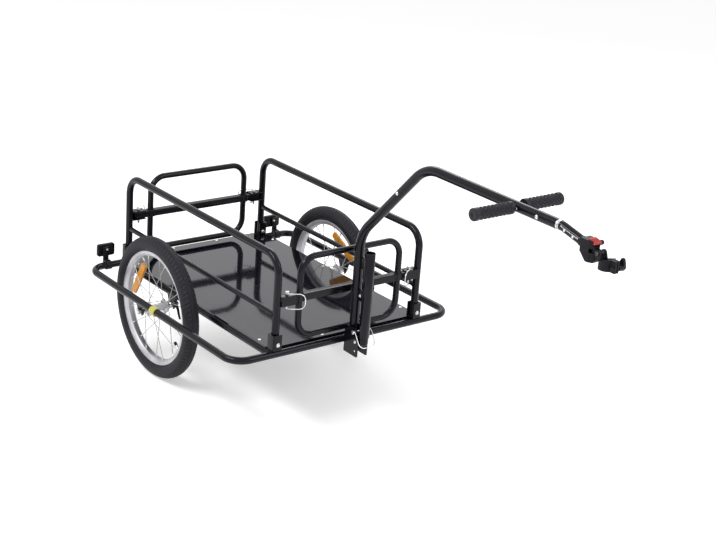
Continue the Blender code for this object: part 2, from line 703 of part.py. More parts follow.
def lock_pin(name, head, along, shank, across):
    """Pin with a round head, drilled across for its bail. The head point is on the drilled hole."""
    along = Vector(along)
    head = Vector(head)
    half = PIN_HEAD_H / 2
    profile = [(0, half), (PIN_HEAD_R - 0.001, half), (PIN_HEAD_R, half - 0.001), (PIN_HEAD_R, -half),
               (PIN_R, -half), (PIN_R, -half - shank + 0.002), (PIN_R - 0.0012, -half - shank), (0, -half - shank)]
    pin = turned(name, profile, head, -along, 10)
    reach = Vector(across) * PIN_HEAD_R * 2
    keep(cut(pin, rod("hole", head - reach, head + reach, WIRE_R + GAP, 8)), ZINC)


def bail(name, head, along, out, flip, reach, span):
    """Bail whose wire lies on one side of its pin: the side is plus or minus one."""
    across = Vector(along).cross(Vector(out)) * flip
    away = across * (PIN_HEAD_R + 0.0025)
    snug = across * (PIN_R + WIRE_R + GAP)
    out = Vector(out)
    drop = Vector(along) * span
    path = bent([-across * (PIN_HEAD_R + 0.0015), away, away + out * reach * 0.3], 0.003, 3)
    loop = bent([away + out * reach * 0.3, away + out * reach, away + out * reach + drop,
                 away + out * reach * 0.3 + drop], BAIL_BEND, 4)
    path += loop[1:]
    path.append(snug + out * 0.002 + drop)
    wire = tube(name, path, WIRE_R, 6)
    wire.location = head
    keep(wire, ZINC)


def gate_bail_frame(end, sign):
    """Hinge point, outward direction and hinge axis of a gate bail."""
    turn = math.radians(BAIL_TURN)
    head_z = BAR_Z + HOLDER_GAP + HOLDER_WALL + GAP + PIN_HEAD_H / 2
    head = Vector((POST_X[end], sign * PIN_Y, head_z))
    out = Vector((ENDS[end] * math.sin(turn), -sign * math.cos(turn), 0))
    return head, out


def add_gate_pins():
    shank = 2 * (HOLDER_GAP + HOLDER_WALL) + PIN_TAIL
    for end in ENDS:
        for side, sign in SIDES.items():
            head, out = gate_bail_frame(end, sign)
            down = Vector((0, 0, -1))
            across = down.cross(out)
            flip = -1 if across.x * ENDS[end] < 0 else 1
            lock_pin(f"gate_pin_{end}_{side}", head, down, shank, across)
            bail(f"gate_bail_{end}_{side}", head, down, out, flip, BAIL_REACH,
                 PIN_HEAD_H / 2 + shank - BAIL_SHORT)


def arm_line():
    """Corners of the tow arm's centreline: foot, knee, shoulder and mouth."""
    rise = math.tan(math.radians(ARM_RISE))
    shoulder_x = ARM_X + (ARM_TOP - ARM_KNEE_Z) / rise
    return [(ARM_X, 0, ARM_FOOT), (ARM_X, 0, ARM_KNEE_Z), (shoulder_x, 0, ARM_TOP), (ARM_END[0], 0, ARM_END[1])]


def on_top_run(x):
    """Point on the arm's top run, and its direction."""
    shoulder = Vector(arm_line()[2])
    mouth = Vector(arm_line()[3])
    along = (mouth - shoulder).normalized()
    return mouth + along * (x - mouth.x) / along.x, along


def add_arm():
    """Bent tube with its collar, the stem in its mouth, and the handlebar with two grips."""
    mouth, along = on_top_run(ARM_END[0])
    bar_at, _ = on_top_run(BAR_X)
    arm = tube("tow_arm", bent(arm_line(), ARM_BEND, 6), ARM_R, 14)
    side = Vector((0, ARM_R * 2, 0))
    arm = cut(arm, rod("bore", mouth - along * (STEM_INSERT + GAP), mouth + along * 0.01, STEM_R + GAP, 14),
              rod("hole", bar_at - side, bar_at + side, BAR_TUBE_R + GAP, 12))
    keep(arm, BLACK)

    band = [(STEM_R + GAP, COLLAR_W), (COLLAR_R, COLLAR_W), (COLLAR_R, 0), (STEM_R + GAP, 0)]
    keep(turned("arm_collar", band, mouth + along * GAP, along, 18), ZINC)
    knee = mouth + along * (COLLAR_W + 0.004)
    drop = math.radians(STEM_DROP)
    run = Vector((math.cos(drop), 0, -math.sin(drop)))
    end = knee + run * (STEM_END_X - knee.x) / run.x
    stem = tube("drawbar_stem", bent([mouth - along * STEM_INSERT, knee, end], STEM_BEND, 3), STEM_R, 12)
    keep(stem, BLACK)

    half = GRIP_END - 0.005
    bar = rod("handlebar", bar_at - Vector((0, half - GAP, 0)), bar_at + Vector((0, half - GAP, 0)), BAR_TUBE_R, 16)
    keep(bar, ZINC)
    start = ARM_R + GAP
    profile = [(0, GRIP_END), (GRIP_R - 0.003, GRIP_END), (GRIP_R, GRIP_END - 0.003), (GRIP_R, GRIP_END - 0.010),
               (GRIP_R - 0.0012, GRIP_END - 0.012), (GRIP_R - 0.0012, start + 0.010), (GRIP_R, start + 0.008),
               (GRIP_R, start), (BAR_TUBE_R + GAP, start), (BAR_TUBE_R + GAP, half), (0, half)]
    for name, sign in SIDES.items():
        keep(turned(f"grip_{name}", profile, bar_at, (0, sign, 0), 16), RUBBER)
    return run, end


def add_foot():
    """Folded bracket under the front tube, its pin and bail, and the leg in its sleeve."""
    low_back, low_front = FOOT_LOW
    outline = [(FOOT_REAR, low_back), (FOOT_FRONT - 0.006, low_front), (FOOT_FRONT, low_front + 0.004),
               (FOOT_FRONT, FOOT_TOP - 0.026), (FOOT_FRONT - 0.010, FOOT_TOP), (FOOT_REAR + 0.012, FOOT_TOP),
               (FOOT_REAR, FOOT_TOP - 0.014)]
    y = SLEEVE_R + GAP + FOOT_T / 2
    holes = [(FOOT_PIN[0], FOOT_PIN[1], PIN_R + GAP), (FOOT_FRONT - 0.010, low_front + 0.016, 0.0025)]
    sheets = [plate("foot_bracket", outline, FOOT_T, (0, way * y, 0), UPRIGHT, holes) for way in (-1, 1)]
    web_z = (low_back + FOOT_WEB_TOP) / 2 + 0.0005
    web = box("web", (FOOT_T, 2 * y, FOOT_WEB_TOP - low_back - 0.001), (FOOT_REAR + FOOT_T / 2, 0, web_z))
    cope = rod("cope", (RING_FRONT, -0.03, RING_Z), (RING_FRONT, 0.03, RING_Z), TUBE_R + GAP, 24)
    keep(cut(join(*sheets, web), cope), BLACK)

    head = Vector((FOOT_PIN[0], -(y + FOOT_T / 2 + GAP + PIN_HEAD_H / 2), FOOT_PIN[1]))
    along = Vector((0, 1, 0))
    drop = math.radians(FOOT_BAIL_DROP)
    out = Vector((math.cos(drop), 0, -math.sin(drop)))
    across = along.cross(out)
    shank = 2 * (y + FOOT_T / 2) + FOOT_PIN_TAIL
    lock_pin("foot_pin", head, along, shank, across)
    flip = 1 if across.z > 0 else -1
    bail("foot_bail", head, along, out, flip, FOOT_BAIL_REACH, PIN_HEAD_H / 2 + shank - BAIL_SHORT)

    sleeve = rod("leg_sleeve", (LEG_X, 0, SLEEVE_BOTTOM), (LEG_X, 0, SLEEVE_TOP), SLEEVE_R, 16)
    lugs = [box("lug", (LEG_X - ARM_X, SLEEVE_LUG_T, SLEEVE_LUG_H), ((LEG_X + ARM_X) / 2, 0, z))
            for z in SLEEVE_LUG_Z]
    bolt_x = (ARM_X + ARM_R + LEG_X - SLEEVE_R) / 2
    bolt_z = SLEEVE_LUG_Z[0]
    reach = Vector((0, SLEEVE_LUG_T * 2, 0))
    bolt_at = Vector((bolt_x, 0, bolt_z))
    sleeve = cut(join(sleeve, *lugs),
                 rod("arm", (ARM_X, 0, SLEEVE_BOTTOM), (ARM_X, 0, SLEEVE_TOP), ARM_R + GAP, 16),
                 rod("bore", (LEG_X, 0, SLEEVE_BOTTOM - 0.01), (LEG_X, 0, SLEEVE_TOP + 0.01), LEG_R + GAP, 16),
                 rod("hole", bolt_at - reach, bolt_at + reach, SLEEVE_BOLT_R + GAP, 10))
    keep(sleeve, BLACK)
    half = SLEEVE_LUG_T / 2 + GAP
    profile = [(0, half + 0.0035), (0.0035, half + 0.0035), (0.0045, half + 0.001), (0.0045, half),
               (SLEEVE_BOLT_R, half), (SLEEVE_BOLT_R, -half), (0.0045, -half), (0.0045, -half - 0.0035),
               (0, -half - 0.0035)]
    keep(turned("sleeve_bolt", profile, bolt_at, (0, -1, 0), 10), ZINC)
    dome = [(x, z + LEG_TIP + LEG_R) for x, z in arc((0, 0), LEG_R, 0, -90, 4)]
    dome[-1] = (0, LEG_TIP)
    leg = turned("parking_leg", [(0, LEG_TOP), (LEG_R, LEG_TOP), *dome], (LEG_X, 0, 0), (0, 0, 1), 16)
    keep(leg, BLACK)


def add_hitch(run, stem_end):
    """Coupler on the stem, red release button, swivel, pitch pin, seat-post clamp and its knob."""
    nose = [(YAW_X + x, y) for x, y in arc((0, 0), HITCH_NOSE_R, -80, 80, 8)]
    back = COUPLER_REAR
    shoulder = YAW_X - 0.004
    plan = nose + [(shoulder, COUPLER_HALF), (back, COUPLER_HALF), (back, -COUPLER_HALF), (shoulder, -COUPLER_HALF)]
    height = COUPLER_TOP - COUPLER_FOOT
    body = plate("coupler_body", plan, height, (0, 0, (COUPLER_TOP + COUPLER_FOOT) / 2), (0, 0, 0))
    body = bevelled(body, 0.002)
    socket_foot = stem_end.z - STEM_R - COUPLER_WALL
    brow = Vector((back + 0.002, socket_foot))
    heel = Vector((YAW_X - 0.012, COUPLER_FOOT))
    below = heel * 2 - brow
    under = [(back - 0.02, below.y), below, brow, (back - 0.02, socket_foot)]
    toe = [(YAW_X - 0.009, COUPLER_FOOT - 0.02), (YAW_X + 0.03, COUPLER_FOOT - 0.02),
           (YAW_X + 0.03, COUPLER_FOOT + 0.008), (YAW_X + 0.012, COUPLER_FOOT + 0.008)]
    slot_z = TONGUE_T / 2 + GAP
    slot_back = YAW_X - TONGUE_HALF - 0.003
    slot = box("slot", (0.05, 0.06, 2 * slot_z), (slot_back + 0.025, 0, HITCH_Z))
    length, width, deep = BUTTON
    rest = COUPLER_TOP + BUTTON_PROUD - deep
    floor = rest - BUTTON_TRAVEL - RUN
    pocket_back = BUTTON_X - length / 2 - GAP
    pocket = box("pocket", (0.04, width + 2 * GAP, 0.03), (pocket_back + 0.02, 0, floor + 0.015))
    socket = rod("socket", stem_end - run * 0.03, stem_end + run * GAP, STEM_R + GAP, 18)
    body = cut(body, plate("under", under, 0.06, (0, 0, 0), UPRIGHT), plate("toe", toe, 0.06, (0, 0, 0), UPRIGHT),
               slot, pocket, socket)
    reach = slot_z + 0.003
    yaw_pin = rod("pin", (YAW_X, 0, HITCH_Z - reach), (YAW_X, 0, HITCH_Z + reach), YAW_PIN_R, 16)
    keep(join(body, yaw_pin), PLASTIC)

    top = [(-length / 2, 0), (length / 2, 0), (length / 2, deep - BUTTON_FALL), (0.002 - length / 2, deep),
           (-length / 2, deep)]
    button = plate("release_button", top, width, (BUTTON_X, 0, rest), UPRIGHT)
    keep(bevelled(button, 0.001), RED)

    reach_x = PITCH_X - YAW_X
    tail = [(x, y) for x, y in arc((0, 0), TONGUE_HALF, 90, 270, 8)]
    tongue_plan = tail + [(reach_x, -TONGUE_HALF), (reach_x, TONGUE_HALF)]
    tongue = plate("swivel_yoke", tongue_plan, TONGUE_T, (YAW_X, 0, HITCH_Z), (0, 0, 0),
                   holes=[(0, 0, YAW_PIN_R + GAP)])
    barrel = rod("barrel", (PITCH_X, -TONGUE_HALF, HITCH_Z), (PITCH_X, TONGUE_HALF, HITCH_Z), BARREL_R, 18)
    hole = rod("hole", (PITCH_X, -0.03, HITCH_Z), (PITCH_X, 0.03, HITCH_Z), PITCH_PIN_R + GAP, 14)
    keep(cut(join(tongue, barrel), hole), PLASTIC)

    ear_y = TONGUE_HALF + GAP + EAR_T / 2
    low, high = CLAMP_Z
    mid_z = (low + high) / 2
    ring = rod("seatpost_clamp", (CLAMP_X, 0, low), (CLAMP_X, 0, high), CLAMP_R, 24)
    down = high - HITCH_Z - 0.004   # the ears reach into the ring
    ear = arc((0, 0), EAR_R, 20, 180, 7) + [(-EAR_R, -0.004), (0.002, down), (0.012, down), (0.012, down + 0.0035)]
    ears = [plate("ear", ear, EAR_T, (PITCH_X, way * ear_y, HITCH_Z), UPRIGHT) for way in (-1, 1)]
    jaw_y = CLAMP_SLIT / 2 + JAW_T / 2
    jaws = [box("jaw", (JAW_REACH - CLAMP_BORE_R, JAW_T, high - low - 0.002),
                (CLAMP_X + (JAW_REACH + CLAMP_BORE_R) / 2, way * jaw_y, mid_z), bevel=0.001) for way in (-1, 1)]
    slit = box("slit", (0.04, CLAMP_SLIT, 0.06), (CLAMP_X + 0.02, 0, mid_z))
    bore = rod("bore", (CLAMP_X, 0, low - 0.03), (CLAMP_X, 0, high + 0.03), CLAMP_BORE_R, 24)
    bolt_x = CLAMP_X + JAW_BOLT
    jaw_hole = rod("hole", (bolt_x, -0.03, mid_z), (bolt_x, 0.03, mid_z), JAW_BOLT_R + GAP, 12)
    pin_hole_tool = rod("hole", (PITCH_X, -0.03, HITCH_Z), (PITCH_X, 0.03, HITCH_Z), PITCH_PIN_R + GAP, 14)
    clamp = cut(join(ring, *ears, *jaws), bore, slit, jaw_hole, pin_hole_tool)
    keep(origin_at(clamp, (PITCH_X, 0, HITCH_Z)), PLASTIC)

    face = ear_y + EAR_T / 2 + GAP
    pin = [(0, face + 0.003), (0.004, face + 0.003), (0.005, face + 0.002), (0.005, face), (PITCH_PIN_R, face),
           (PITCH_PIN_R, -face), (0.005, -face), (0.005, -face - 0.002), (0, -face - 0.002)]
    keep(turned("hitch_pin", pin, (PITCH_X, 0, HITCH_Z), (0, -1, 0), 12), ZINC)

    jaw_face = CLAMP_SLIT / 2 + JAW_T + GAP
    wing_t = 0.005
    wing_y = CLAMP_R + RUN + wing_t / 2
    knob_end = wing_y + wing_t / 2 + 0.001
    knob = [(0, knob_end), (KNOB_R - 0.002, knob_end), (KNOB_R, knob_end - 0.002),
            (KNOB_R, jaw_face), (JAW_BOLT_R, jaw_face), (JAW_BOLT_R, -jaw_face), (0.0055, -jaw_face),
            (0.0055, -jaw_face - 0.004), (0, -jaw_face - 0.004)]
    hub = turned("clamp_knob", knob, (bolt_x, 0, mid_z), (0, 1, 0), 14)
    outline = [(-0.006, 0)] + [(x, z + KNOB_WING - 0.004) for x, z in arc((0, 0), 0.0045, 180, 0, 5)] + [(0.006, 0)]
    outline += [(x, z - KNOB_WING + 0.014) for x, z in arc((0, 0), 0.0045, 0, -180, 5)]
    wing = plate("wing", outline, wing_t, (bolt_x, wing_y, mid_z), UPRIGHT)
    keep(join(hub, wing), PLASTIC)


def add_trim():
    """Rear reflectors on their clips, and the lime sleeves on the ring's outer runs."""
    depth, width, height = REFLECTOR
    for side, sign in SIDES.items():
        y = sign * REFLECTOR_Y
        housing = box(f"rear_reflector_{side}", (depth, width, height), (REFLECTOR_X, y, REFLECTOR_Z), bevel=0.004)
        clip_y = sign * CLIP_Y
        outer = TUBE_R + GAP + CLIP_T
        band = rod("band", (RING_REAR, clip_y - CLIP_W / 2, RING_Z), (RING_REAR, clip_y + CLIP_W / 2, RING_Z), outer, 16)
        stem_top = REFLECTOR_Z + 0.012
        stem_x = (RING_REAR + REFLECTOR_X + depth / 2) / 2 - 0.004
        stem = box("stem", (CLIP_T + 0.002, CLIP_W - 0.001, stem_top - RING_Z),
                   (stem_x, clip_y, (stem_top + RING_Z) / 2))
        foot = box("foot", (abs(RING_REAR - stem_x), CLIP_W - 0.002, 0.006),
                   ((RING_REAR + stem_x) / 2, clip_y, RING_Z + TUBE_R + CLIP_T - 0.0015))
        head = box("head", (stem_x - REFLECTOR_X, CLIP_W - 0.003, 0.010),
                   ((stem_x + REFLECTOR_X) / 2, clip_y, stem_top - 0.007))
        hole = rod("hole", (RING_REAR, clip_y - 0.02, RING_Z), (RING_REAR, clip_y + 0.02, RING_Z), TUBE_R + GAP, 16)
        keep(cut(join(housing, band, stem, foot, head), hole), PLASTIC)

        cap = [(TUBE_R + GAP, CAP_L / 2), (CAP_R - 0.0015, CAP_L / 2), (CAP_R, CAP_L / 2 - 0.002),
               (CAP_R, 0.002 - CAP_L / 2), (CAP_R - 0.0015, -CAP_L / 2), (TUBE_R + GAP, -CAP_L / 2)]
        keep(turned(f"tube_sleeve_{side}", cap, (CAP_X, sign * RING_Y, RING_Z), (1, 0, 0), 14), LIME)


add_wheels()
add_base()
add_posts()
add_side_frames()
add_gates()
add_gate_pins()
add_hitch(*add_arm())
add_foot()
add_trim()
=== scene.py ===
import math

import bpy
import bmesh
import numpy as np
from mathutils import Matrix, Vector, geometry


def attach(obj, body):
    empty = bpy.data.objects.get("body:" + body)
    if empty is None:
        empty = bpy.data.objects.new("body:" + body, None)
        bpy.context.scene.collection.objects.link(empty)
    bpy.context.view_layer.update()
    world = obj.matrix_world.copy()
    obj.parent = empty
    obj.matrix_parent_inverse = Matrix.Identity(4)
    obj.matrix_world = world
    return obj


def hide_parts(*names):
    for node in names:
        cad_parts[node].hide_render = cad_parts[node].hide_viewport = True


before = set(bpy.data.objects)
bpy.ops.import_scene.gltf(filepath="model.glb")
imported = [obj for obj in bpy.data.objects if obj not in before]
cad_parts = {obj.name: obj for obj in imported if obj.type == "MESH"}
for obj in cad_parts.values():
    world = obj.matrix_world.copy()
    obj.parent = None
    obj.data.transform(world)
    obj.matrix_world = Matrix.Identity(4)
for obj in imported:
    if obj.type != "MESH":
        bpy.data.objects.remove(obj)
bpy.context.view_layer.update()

sideSigns = {"right": -1, "left": 1}
endSigns = {"rear": -1, "front": 1}
originX = 0.52125  # the CAD origin stands this far ahead of the wheel axle; pieces are drawn from the axle
fitGap = 0.0003  # clearance between pieces that touch, as in the CAD
print("stage 1: frame loaded,", len(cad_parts), "nodes")


# Each lamp has its place, the point it faces, its two sides and its power.
studio = {
    "cameraAt": (2.78097, -2.30012, 1.78201), "cameraRight": (0.6116044, 0.78795895, 0.07113891),
    "cameraUp": (-0.31784796, 0.16237381, 0.93413458), "lens": 75.2, "sensor": 36, "clip": (0.05, 60),
    "floorHalf": 30, "floorColour": (0.93, 0.93, 0.93, 1), "floorRoughness": 0.9, "floorLift": 0.42,
    "worldLight": 0.56,
    "lamps": {"keyLight": ((-0.6, -2.6, 3.4), (0.0, 0.0, 0.3), (2.6, 0.7), 84),
              "fillLight": ((3.0, 1.6, 2.6), (0.1, 0.0, 0.3), (1.8, 1.8), 32),
              "rimLight": ((-2.6, 2.2, 2.8), (0.0, 0.0, 0.3), (2.2, 1.2), 40)},
}


def addToScene(name, data):
    made = bpy.data.objects.new(name, data)
    bpy.context.scene.collection.objects.link(made)
    return made


def addCamera(settings):
    right = Vector(settings["cameraRight"]).normalized()
    up = Vector(settings["cameraUp"])
    up = (up - right * up.dot(right)).normalized()
    turn = Matrix((right, up, right.cross(up))).transposed()
    data = bpy.data.cameras.new("photoCamera")
    data.lens = settings["lens"]
    data.sensor_width = settings["sensor"]
    data.clip_start, data.clip_end = settings["clip"]
    camera = addToScene("photoCamera", data)
    camera.matrix_world = Matrix.Translation(settings["cameraAt"]) @ turn.to_4x4()
    bpy.context.scene.camera = camera
    bpy.context.scene.view_settings.view_transform = "Standard"


def addLamps(settings):
    for name, (at, towards, size, power) in settings["lamps"].items():
        data = bpy.data.lights.new(name, "AREA")
        data.shape = "RECTANGLE"
        data.size, data.size_y = size
        data.energy = power
        lamp = addToScene(name, data)
        lamp.location = at
        lamp.rotation_euler = (Vector(towards) - Vector(at)).to_track_quat("-Z", "Y").to_euler()


# Inputs of a node: a socket given here is linked to the input, anything else becomes its value.
def setInputs(tree, node, inputs):
    for label, value in inputs.items():
        if isinstance(value, bpy.types.NodeSocket):
            tree.links.new(value, node.inputs[label])
        else:
            node.inputs[label].default_value = value


def addNode(tree, kind, inputs, **choices):
    node = tree.nodes.new("ShaderNode" + kind)
    for label, value in choices.items():
        setattr(node, label, value)
    setInputs(tree, node, inputs)
    return node.outputs


# Values joined one after the other by the same operation.
def joined(tree, operation, *values, clamp=False):
    total = values[0]
    for value in values[1:]:
        total = addNode(tree, "Math", {0: total, 1: value}, operation=operation, use_clamp=clamp)[0]
    return total


# The second shader shows to rays from the camera, a shiny surface or a clear one, and the first to all others.
def mixBySeen(tree, hidden, seen):
    path = addNode(tree, "LightPath", {})
    mask = joined(tree, "MAXIMUM", path["Is Camera Ray"], path["Is Glossy Ray"], path["Is Transmission Ray"])
    return addNode(tree, "MixShader", {0: mask, 1: hidden, 2: seen})[0]


def addWorld(settings):
    world = bpy.data.worlds.new("paleStudio")
    bpy.context.scene.world = world
    world.use_nodes = True
    tree = world.node_tree
    tree.nodes.clear()
    soft, white = (addNode(tree, "Background", {"Color": (1, 1, 1, 1), "Strength": strength})[0]
                   for strength in (settings["worldLight"], 1.0))
    addNode(tree, "OutputWorld", {"Surface": mixBySeen(tree, soft, white)})


def addFloor(settings):
    half = settings["floorHalf"]
    data = bpy.data.meshes.new("studioFloor")
    data.from_pydata([(-half, -half, 0), (half, -half, 0), (half, half, 0), (-half, half, 0)], [], [(0, 1, 2, 3)])
    surface = bpy.data.materials.new("studioFloor")
    surface.use_nodes = True
    tree = surface.node_tree
    shader = tree.nodes["Principled BSDF"]
    setInputs(tree, shader, {"Base Color": settings["floorColour"], "Roughness": settings["floorRoughness"],
                             "Specular IOR Level": 0.0})
    lift = addNode(tree, "Emission", {"Strength": settings["floorLift"]})[0]  # seen only, so the shadow stays
    both = addNode(tree, "AddShader", {0: shader.outputs[0], 1: lift})[0]
    setInputs(tree, tree.nodes["Material Output"], {"Surface": mixBySeen(tree, shader.outputs[0], both)})
    data.materials.append(surface)
    addToScene("studioFloor", data)


addCamera(studio)
addWorld(studio)
addFloor(studio)
addLamps(studio)
print("stage 2: camera, light and floor")


# Surface: a table of points, its rows along the piece and its columns round it. Each point is joined to the next
# in its row and column. The columns are closed, and so are the rows of a ring.
def gridSurface(points, closeRows=False):
    points = np.asarray(points, float)
    rows, columns = points.shape[:2]
    i, j = np.meshgrid(np.arange(rows if closeRows else rows - 1), np.arange(columns), indexing="ij")
    nextI = (i + 1) % rows
    nextJ = (j + 1) % columns
    quads = np.stack([i * columns + j, i * columns + nextJ, nextI * columns + nextJ, nextI * columns + j], -1)
    return points.reshape(-1, 3), quads.reshape(-1, 4)


def smoothStep(value, low, high):
    share = np.clip((value - low) / (high - low), 0, 1)
    return share * share * (3 - 2 * share)


def unit(vectors):
    vectors = np.asarray(vectors, float)
    return vectors / np.linalg.norm(vectors, axis=-1, keepdims=True)


# Arc: points on a circle between two angles in degrees, stepped evenly.
def arcPoints(centre, radius, start, end, steps):
    angle = np.radians(np.linspace(start, end, steps + 1))
    return np.stack([centre[0] + radius * np.cos(angle), centre[1] + radius * np.sin(angle)], -1)


def circle(sides):
    return arcPoints((0, 0), 1, 0, 360, sides)[:-1]


def roundHole(centre, radius):
    return arcPoints(centre, radius, 0, 345, 23)


# Rounded rectangle: four quarter circles, each set in from its corner by the corner's radius.
def roundedRectangle(width, height, radius, steps=5):
    inX, inY = width / 2 - radius, height / 2 - radius
    middles = ((inX, inY), (-inX, inY), (-inX, -inY), (inX, -inY))
    return np.concatenate([arcPoints(middle, radius, 90 * quarter, 90 * quarter + 90, steps - 1)
                           for quarter, middle in enumerate(middles)])


# Bent path: straight runs, with each inner corner swapped for an arc of the bend radius that touches both runs.
def bentPath(corners, radius, steps=10, closed=False):
    corners = [np.asarray(c, float) for c in corners]
    count = len(corners)
    points = []
    for index, corner in enumerate(corners):
        if not closed and index in (0, count - 1):
            points.append(corner[None])
            continue
        back = unit(corners[index - 1] - corner)
        ahead = unit(corners[(index + 1) % count] - corner)
        half = math.acos(np.clip(back @ ahead, -1, 1)) / 2
        middle = corner + unit(back + ahead) * radius / math.sin(half)
        start = corner + back * radius / math.tan(half) - middle
        angle = np.linspace(0, math.pi - 2 * half, steps + 1)[:, None]
        points.append(middle + start * np.cos(angle) - back * radius * np.sin(angle))
    return np.concatenate(points)


# Straight line cut into equal steps.
def straightPath(start, end, steps=1):
    share = np.linspace(0, 1, steps + 1)[:, None]
    return np.asarray(start, float) * (1 - share) + np.asarray(end, float) * share


# Swept section: at each path point the section lies square to the path, its first axis as near as can be to a fixed
# direction. An open path is closed at both ends by a flat face inside a small rounded edge.
def swept(path, radius, normal, section=None, sides=32, closed=False, edge=0.0006):
    path = np.asarray(path, float)
    section = circle(sides) if section is None else np.asarray(section, float)
    if closed:
        tangent = np.roll(path, -1, 0) - np.roll(path, 1, 0)
    else:
        tangent = np.gradient(path, axis=0)
        tangent[0] = path[1] - path[0]
        tangent[-1] = path[-1] - path[-2]
    tangent = unit(tangent)
    normal = np.broadcast_to(np.asarray(normal, float), path.shape)
    first = unit(normal - tangent * np.sum(normal * tangent, -1, keepdims=True))
    second = np.cross(tangent, first)
    size = np.broadcast_to(np.asarray(radius, float), (len(path),))
    if not closed:
        setIn = 0.4 * edge
        path = np.concatenate([np.repeat(path[:1], 4, 0), path[1:-1], np.repeat(path[-1:], 4, 0)])
        path[3] += tangent[0] * setIn
        path[-4] -= tangent[-1] * setIn
        inset, insetEnd = (1 - edge / (size[end] * np.abs(section).max()) for end in (0, -1))
        size = np.concatenate([[0, size[0] * inset * 0.6, size[0] * inset, size[0]], size[1:-1],
                               [size[-1], size[-1] * insetEnd, size[-1] * insetEnd * 0.6, 0]])
        first, second = (np.concatenate([np.repeat(axis[:1], 4, 0), axis[1:-1], np.repeat(axis[-1:], 4, 0)])
                         for axis in (first, second))
    ring = first[:, None] * section[None, :, :1] + second[:, None] * section[None, :, 1:]
    return gridSurface(path[:, None] + ring * size[:, None, None], closeRows=closed)


# Turned form: the (radius, height) profile goes round the axis; a profile off the axis is closed on itself.
def turnedForm(profile, at, axis, sides=64):
    profile = np.asarray(profile, float)
    onAxis = profile[0, 0] == 0 and profile[-1, 0] == 0
    axis = unit(axis)
    helper = np.array([0.0, 0.0, 1.0]) if abs(axis[2]) < 0.9 else np.array([1.0, 0.0, 0.0])
    first = unit(np.cross(axis, helper))
    ring = circle(sides)
    around = ring[:, :1] * first + ring[:, 1:] * np.cross(axis, first)
    points = np.asarray(at, float) + profile[:, None, :1] * around[None] + profile[:, None, 1:] * axis
    return gridSurface(points, closeRows=not onAxis)


# Rod: a section swept along a straight line.
def rodForm(start, end, steps, radius, normal, section=None, **form):
    return swept(straightPath(start, end, steps), radius, normal, section, **form)


# The two directions of a plate that stands along the trailer, and of one that lies level.
upright = ((1, 0, 0), (0, 0, 1))
level = ((1, 0, 0), (0, 1, 0))


# Plate: a flat outline with holes, drawn on two directions of space, and walls between its two faces.
def plateForm(outline, thickness, at, first, second, holes=()):
    loops = [np.asarray(loop, float) for loop in (outline, *holes)]
    triangles = np.array(geometry.tessellate_polygon([[Vector((x, y, 0)) for x, y in loop] for loop in loops]))
    points = np.concatenate(loops)
    first = unit(first)
    second = unit(second)
    third = np.cross(first, second) * thickness / 2
    face = np.asarray(at, float) + points[:, :1] * first + points[:, 1:] * second
    faces = [triangles, triangles[:, ::-1] + len(points)]
    start = 0
    for loop in loops:
        here = np.arange(len(loop)) + start
        onward = np.roll(here, -1)
        faces.append(np.stack([here, onward, onward + len(points), here + len(points)], -1))
        start += len(loop)
    return np.concatenate([face + third, face - third]), faces


# Block: a rounded rectangle carried along a straight line, with its two ends drawn in by the same small edge.
def blockForm(size, at, edge=0.001, steps=4):
    along, wide, high = size
    section = roundedRectangle(wide, high, min(edge, wide * 0.49, high * 0.49), steps)
    share = np.array([0, 1 - math.sqrt(0.5), 1]) * edge
    x = np.concatenate([[-along / 2], -along / 2 + share, along / 2 - share[::-1], [along / 2]])
    drawn = np.concatenate([[edge], share[::-1], share, [edge]])
    scale = 1 - drawn[:, None] / (np.array([wide, high]) / 2)
    scale[[0, -1]] = 0
    lengthwise = np.broadcast_to(x[:, None, None], (len(x), len(section), 1))
    points = np.concatenate([lengthwise, scale[:, None] * section], -1)
    return gridSurface(points + np.asarray(at, float))


meshing = {"weld": 0.000004, "bevelSegments": 2, "bevelAngle": 35}


# A piece: its surfaces are put into one mesh, welded where points meet, and faced outwards.
def addPiece(name, surfaces, finish, body="trailer", replacing=(), sharp=38, bevel=0.0):
    faces = []
    start = 0
    for points, blocks in surfaces:
        for block in blocks if isinstance(blocks, list) else [blocks]:
            faces += (block + start).tolist()
        start += len(points)
    vertices = np.concatenate([points for points, blocks in surfaces]) - np.array([originX, 0, 0])
    data = bpy.data.meshes.new(name)
    data.from_pydata(vertices.tolist(), [], faces)
    shape = bmesh.new()
    shape.from_mesh(data)
    bmesh.ops.remove_doubles(shape, verts=shape.verts, dist=meshing["weld"])
    bmesh.ops.recalc_face_normals(shape, faces=shape.faces)
    shape.to_mesh(data)
    shape.free()
    data.validate()
    data.shade_smooth()
    data.set_sharp_from_angle(angle=math.radians(sharp))
    data.materials.append(finish)
    piece = addToScene(name, data)
    if bevel:
        step = piece.modifiers.new("softEdges", "BEVEL")
        step.width = bevel
        step.segments = meshing["bevelSegments"]
        step.limit_method = "ANGLE"
        step.angle_limit = math.radians(meshing["bevelAngle"])
        step.harden_normals = False
    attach(piece, body)
    if replacing:
        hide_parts(*replacing)


# An effect is a node group: it takes a place and the inputs given here, and gives the outputs named.
def newEffect(name, inputs, outputs):
    tree = bpy.data.node_groups.new(name, "ShaderNodeTree")
    tree.interface.new_socket(name="Vector", in_out="INPUT", socket_type="NodeSocketVector")
    for label, value in inputs.items():
        kind = "NodeSocketFloat" if isinstance(value, float) else "NodeSocketColor"
        tree.interface.new_socket(name=label, in_out="INPUT", socket_type=kind).default_value = value
    for label in outputs:
        kind = "NodeSocketColor" if label == "Color" else "NodeSocketFloat"
        tree.interface.new_socket(name=label, in_out="OUTPUT", socket_type=kind)
    return tree, tree.nodes.new("NodeGroupInput").outputs, tree.nodes.new("NodeGroupOutput")


